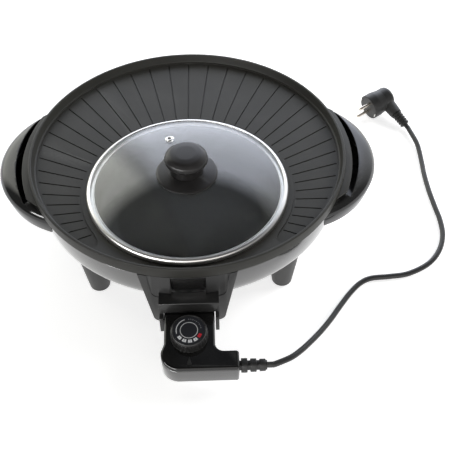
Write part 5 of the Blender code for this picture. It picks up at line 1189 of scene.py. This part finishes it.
def make_pin(z):
    pin = turned("pin", bend([
        (0.0, -0.004, 0.0), (0.0024, -0.004, 0.0), (0.0024, 0.0170, 0.001), (0.0013, 0.0190, 0.0008), (0.0, 0.0190, 0.0),
    ], 5), SMALL_ROUND)
    return smooth(put(pin, PLUG_PLACE @ Matrix.Translation((0.0, 0.0, z)) @ Matrix.Rotation(QUARTER, 4, "Y")))


plug = give(make_plug(), CORD_RUBBER, "control", ["plug_body"])
for end, z in (("lower", -0.0095), ("upper", 0.0095)):
    pin = make_pin(z)
    pin.name = "mains_pin_" + end
    give(pin, NICKEL, "control", ["plug_pin_" + end])
for end, y in (("back", -0.0162), ("front", 0.0162)):
    clip = block("clip", (0.008, 0.0012, 0.0065), (-0.0028, y, 0.0))
    clip = smooth(put(soften(clip, 0.0003), PLUG_PLACE))
    clip.name = "earth_strip_" + end
    give(clip, BRIGHT_STEEL, "control", ["earth_clip_" + end])
give(mains_lead, CORD_RUBBER, "control", ["power_cord"])


# Inner pieces keep their solids and get their surface

HANDS = ("left", "right")
ENDS = ("front", "rear")
INNER = {
    STEEL: (
        "heating_element", "terminal_pin_left", "terminal_pin_right", "probe_rod", "knob_screw",
        *("case_screw_" + number for number in "123"),
        *(hand + "_handle_screw_" + end for hand in HANDS for end in ENDS),
        *(end + "_" + hand + "_leg_screw" for end in ENDS for hand in HANDS),
    ),
    ALUMINIUM: ("heat_reflector", "probe_sleeve"),
    CERAMIC: ("terminal_block", "thermostat_switch"),
    BRASS: ("contact_socket_left", "contact_socket_right", "bimetal_strip", "dial_spindle"),
    RUBBER: ("knob_washer", *(end + "_" + hand + "_foot_pad" for end in ENDS for hand in HANDS)),
}
for material, nodes in INNER.items():
    for node in nodes:
        for place in bpy.data.objects[node].material_slots:
            place.material = material


# Studio


FLOOR_GLOW = 0.66


def make_stage():
    """A pale floor that the camera sees as white where nothing shades it."""
    rest()
    bpy.ops.mesh.primitive_plane_add(size=14.0, location=(0.0, 0.0, -0.0002))
    floor = named("studio_floor")
    material = bpy.data.materials.new("pale_floor")
    material.use_nodes = True
    tree = material.node_tree
    shader = tree.nodes["Principled BSDF"]
    shader.inputs["Base Color"].default_value = (0.80, 0.80, 0.80, 1.0)
    shader.inputs["Roughness"].default_value = 0.75
    shader.inputs["Specular IOR Level"].default_value = 0.1
    path = add(tree, "LightPath")
    seen = sum_of(tree, "MAXIMUM", path.outputs["Is Camera Ray"], path.outputs["Is Transmission Ray"])
    seen = sum_of(tree, "MAXIMUM", seen, path.outputs["Is Glossy Ray"])
    glow = sum_of(tree, "MULTIPLY", seen, FLOOR_GLOW)
    shader.inputs["Emission Color"].default_value = (1.0, 1.0, 1.0, 1.0)
    link(tree, (glow, shader.inputs["Emission Strength"]))
    floor.data.materials.append(material)


def colour_ramp(tree, value, stops):
    """A colour that runs through its stops as a value goes from 0 to 1."""
    ramp = add(tree, "ValToRGB")
    while len(ramp.color_ramp.elements) < len(stops):
        ramp.color_ramp.elements.new(0.5)
    for element, (place, colour) in zip(ramp.color_ramp.elements, stops):
        element.position = place
    for element, (place, colour) in zip(ramp.color_ramp.elements, stops):
        element.color = (*colour, 1.0)
    link(tree, (value, ramp.inputs["Fac"]))
    return ramp.outputs["Color"]


WALL_LIGHT = 3.0
DARK_CEILING = ((0.0, (0.8,) * 3), (0.08, (1.0,) * 3), (0.64, (1.0,) * 3), (0.77, (0.06,) * 3), (1.0, (0.04,) * 3))
ROUND_THE_ROOM = (
    (0.0, (0.52, 0.51, 0.50)), (0.10, (0.50, 0.49, 0.48)), (0.17, (0.06, 0.06, 0.06)), (0.305, (0.06, 0.06, 0.06)),
    (0.345, (0.80, 0.80, 0.74)), (0.425, (0.80, 0.81, 0.77)), (0.442, (0.46, 0.47, 0.48)), (0.465, (0.86, 0.90, 1.0)),
    (0.57, (0.82, 0.86, 0.97)), (0.61, (0.56, 0.58, 0.62)), (0.66, (0.34, 0.35, 0.36)), (0.72, (0.10, 0.10, 0.10)),
    (0.85, (0.10, 0.10, 0.10)),
    (0.92, (0.50, 0.49, 0.48)), (1.0, (0.52, 0.51, 0.50)),
)


def make_world():
    """White for the camera; for the object, pale walls under a dark ceiling."""
    world = bpy.data.worlds.new("studio")
    bpy.context.scene.world = world
    world.use_nodes = True
    tree = world.node_tree
    back = tree.nodes["Background"]
    where = add(tree, "TexCoord")
    parts = add(tree, "SeparateXYZ")
    link(tree, (where.outputs["Generated"], parts.inputs["Vector"]))
    heading = sum_of(tree, "ARCTAN2", parts.outputs["X"], parts.outputs["Y"])
    turn = add(tree, "MapRange", {"From Min": -math.pi, "From Max": math.pi})
    link(tree, (heading, turn.inputs["Value"]))
    room = add(tree, "Mix", data_type="RGBA", blend_type="MULTIPLY")
    room.inputs[0].default_value = 1.0
    seen = add(tree, "Mix", data_type="RGBA")
    seen.inputs[7].default_value = (1 / WALL_LIGHT, 1 / WALL_LIGHT, 1 / WALL_LIGHT, 1.0)
    path = add(tree, "LightPath")
    link(
        tree, (colour_ramp(tree, parts.outputs["Z"], DARK_CEILING), room.inputs[6]),
        (colour_ramp(tree, turn.outputs["Result"], ROUND_THE_ROOM), room.inputs[7]),
        (path.outputs["Is Camera Ray"], seen.inputs[0]), (room.outputs[2], seen.inputs[6]),
        (seen.outputs[2], back.inputs["Color"]),
    )
    back.inputs["Strength"].default_value = WALL_LIGHT


def add_lamp(name, place, aim, size, power):
    rest()
    bpy.ops.object.light_add(type="AREA", location=place)
    lamp = bpy.context.object
    lamp.name = name
    lamp.rotation_euler = (Vector(aim) - Vector(place)).to_track_quat("-Z", "Y").to_euler()
    lamp.data.shape = "RECTANGLE"
    lamp.data.size, lamp.data.size_y = size
    lamp.data.energy = power
    return lamp


make_stage()
make_world()
soft = add_lamp("right_softbox", (1.75, 0.5, 1.1), (0.0, 0.0, 0.05), (1.0, 0.9), 22.0)
soft.visible_glossy = False
strip = add_lamp("front_strip", (-1.10, -1.20, 0.85), (0.0, -0.1, 0.05), (1.8, 0.24), 26.0)
strip.visible_diffuse = False

rest()
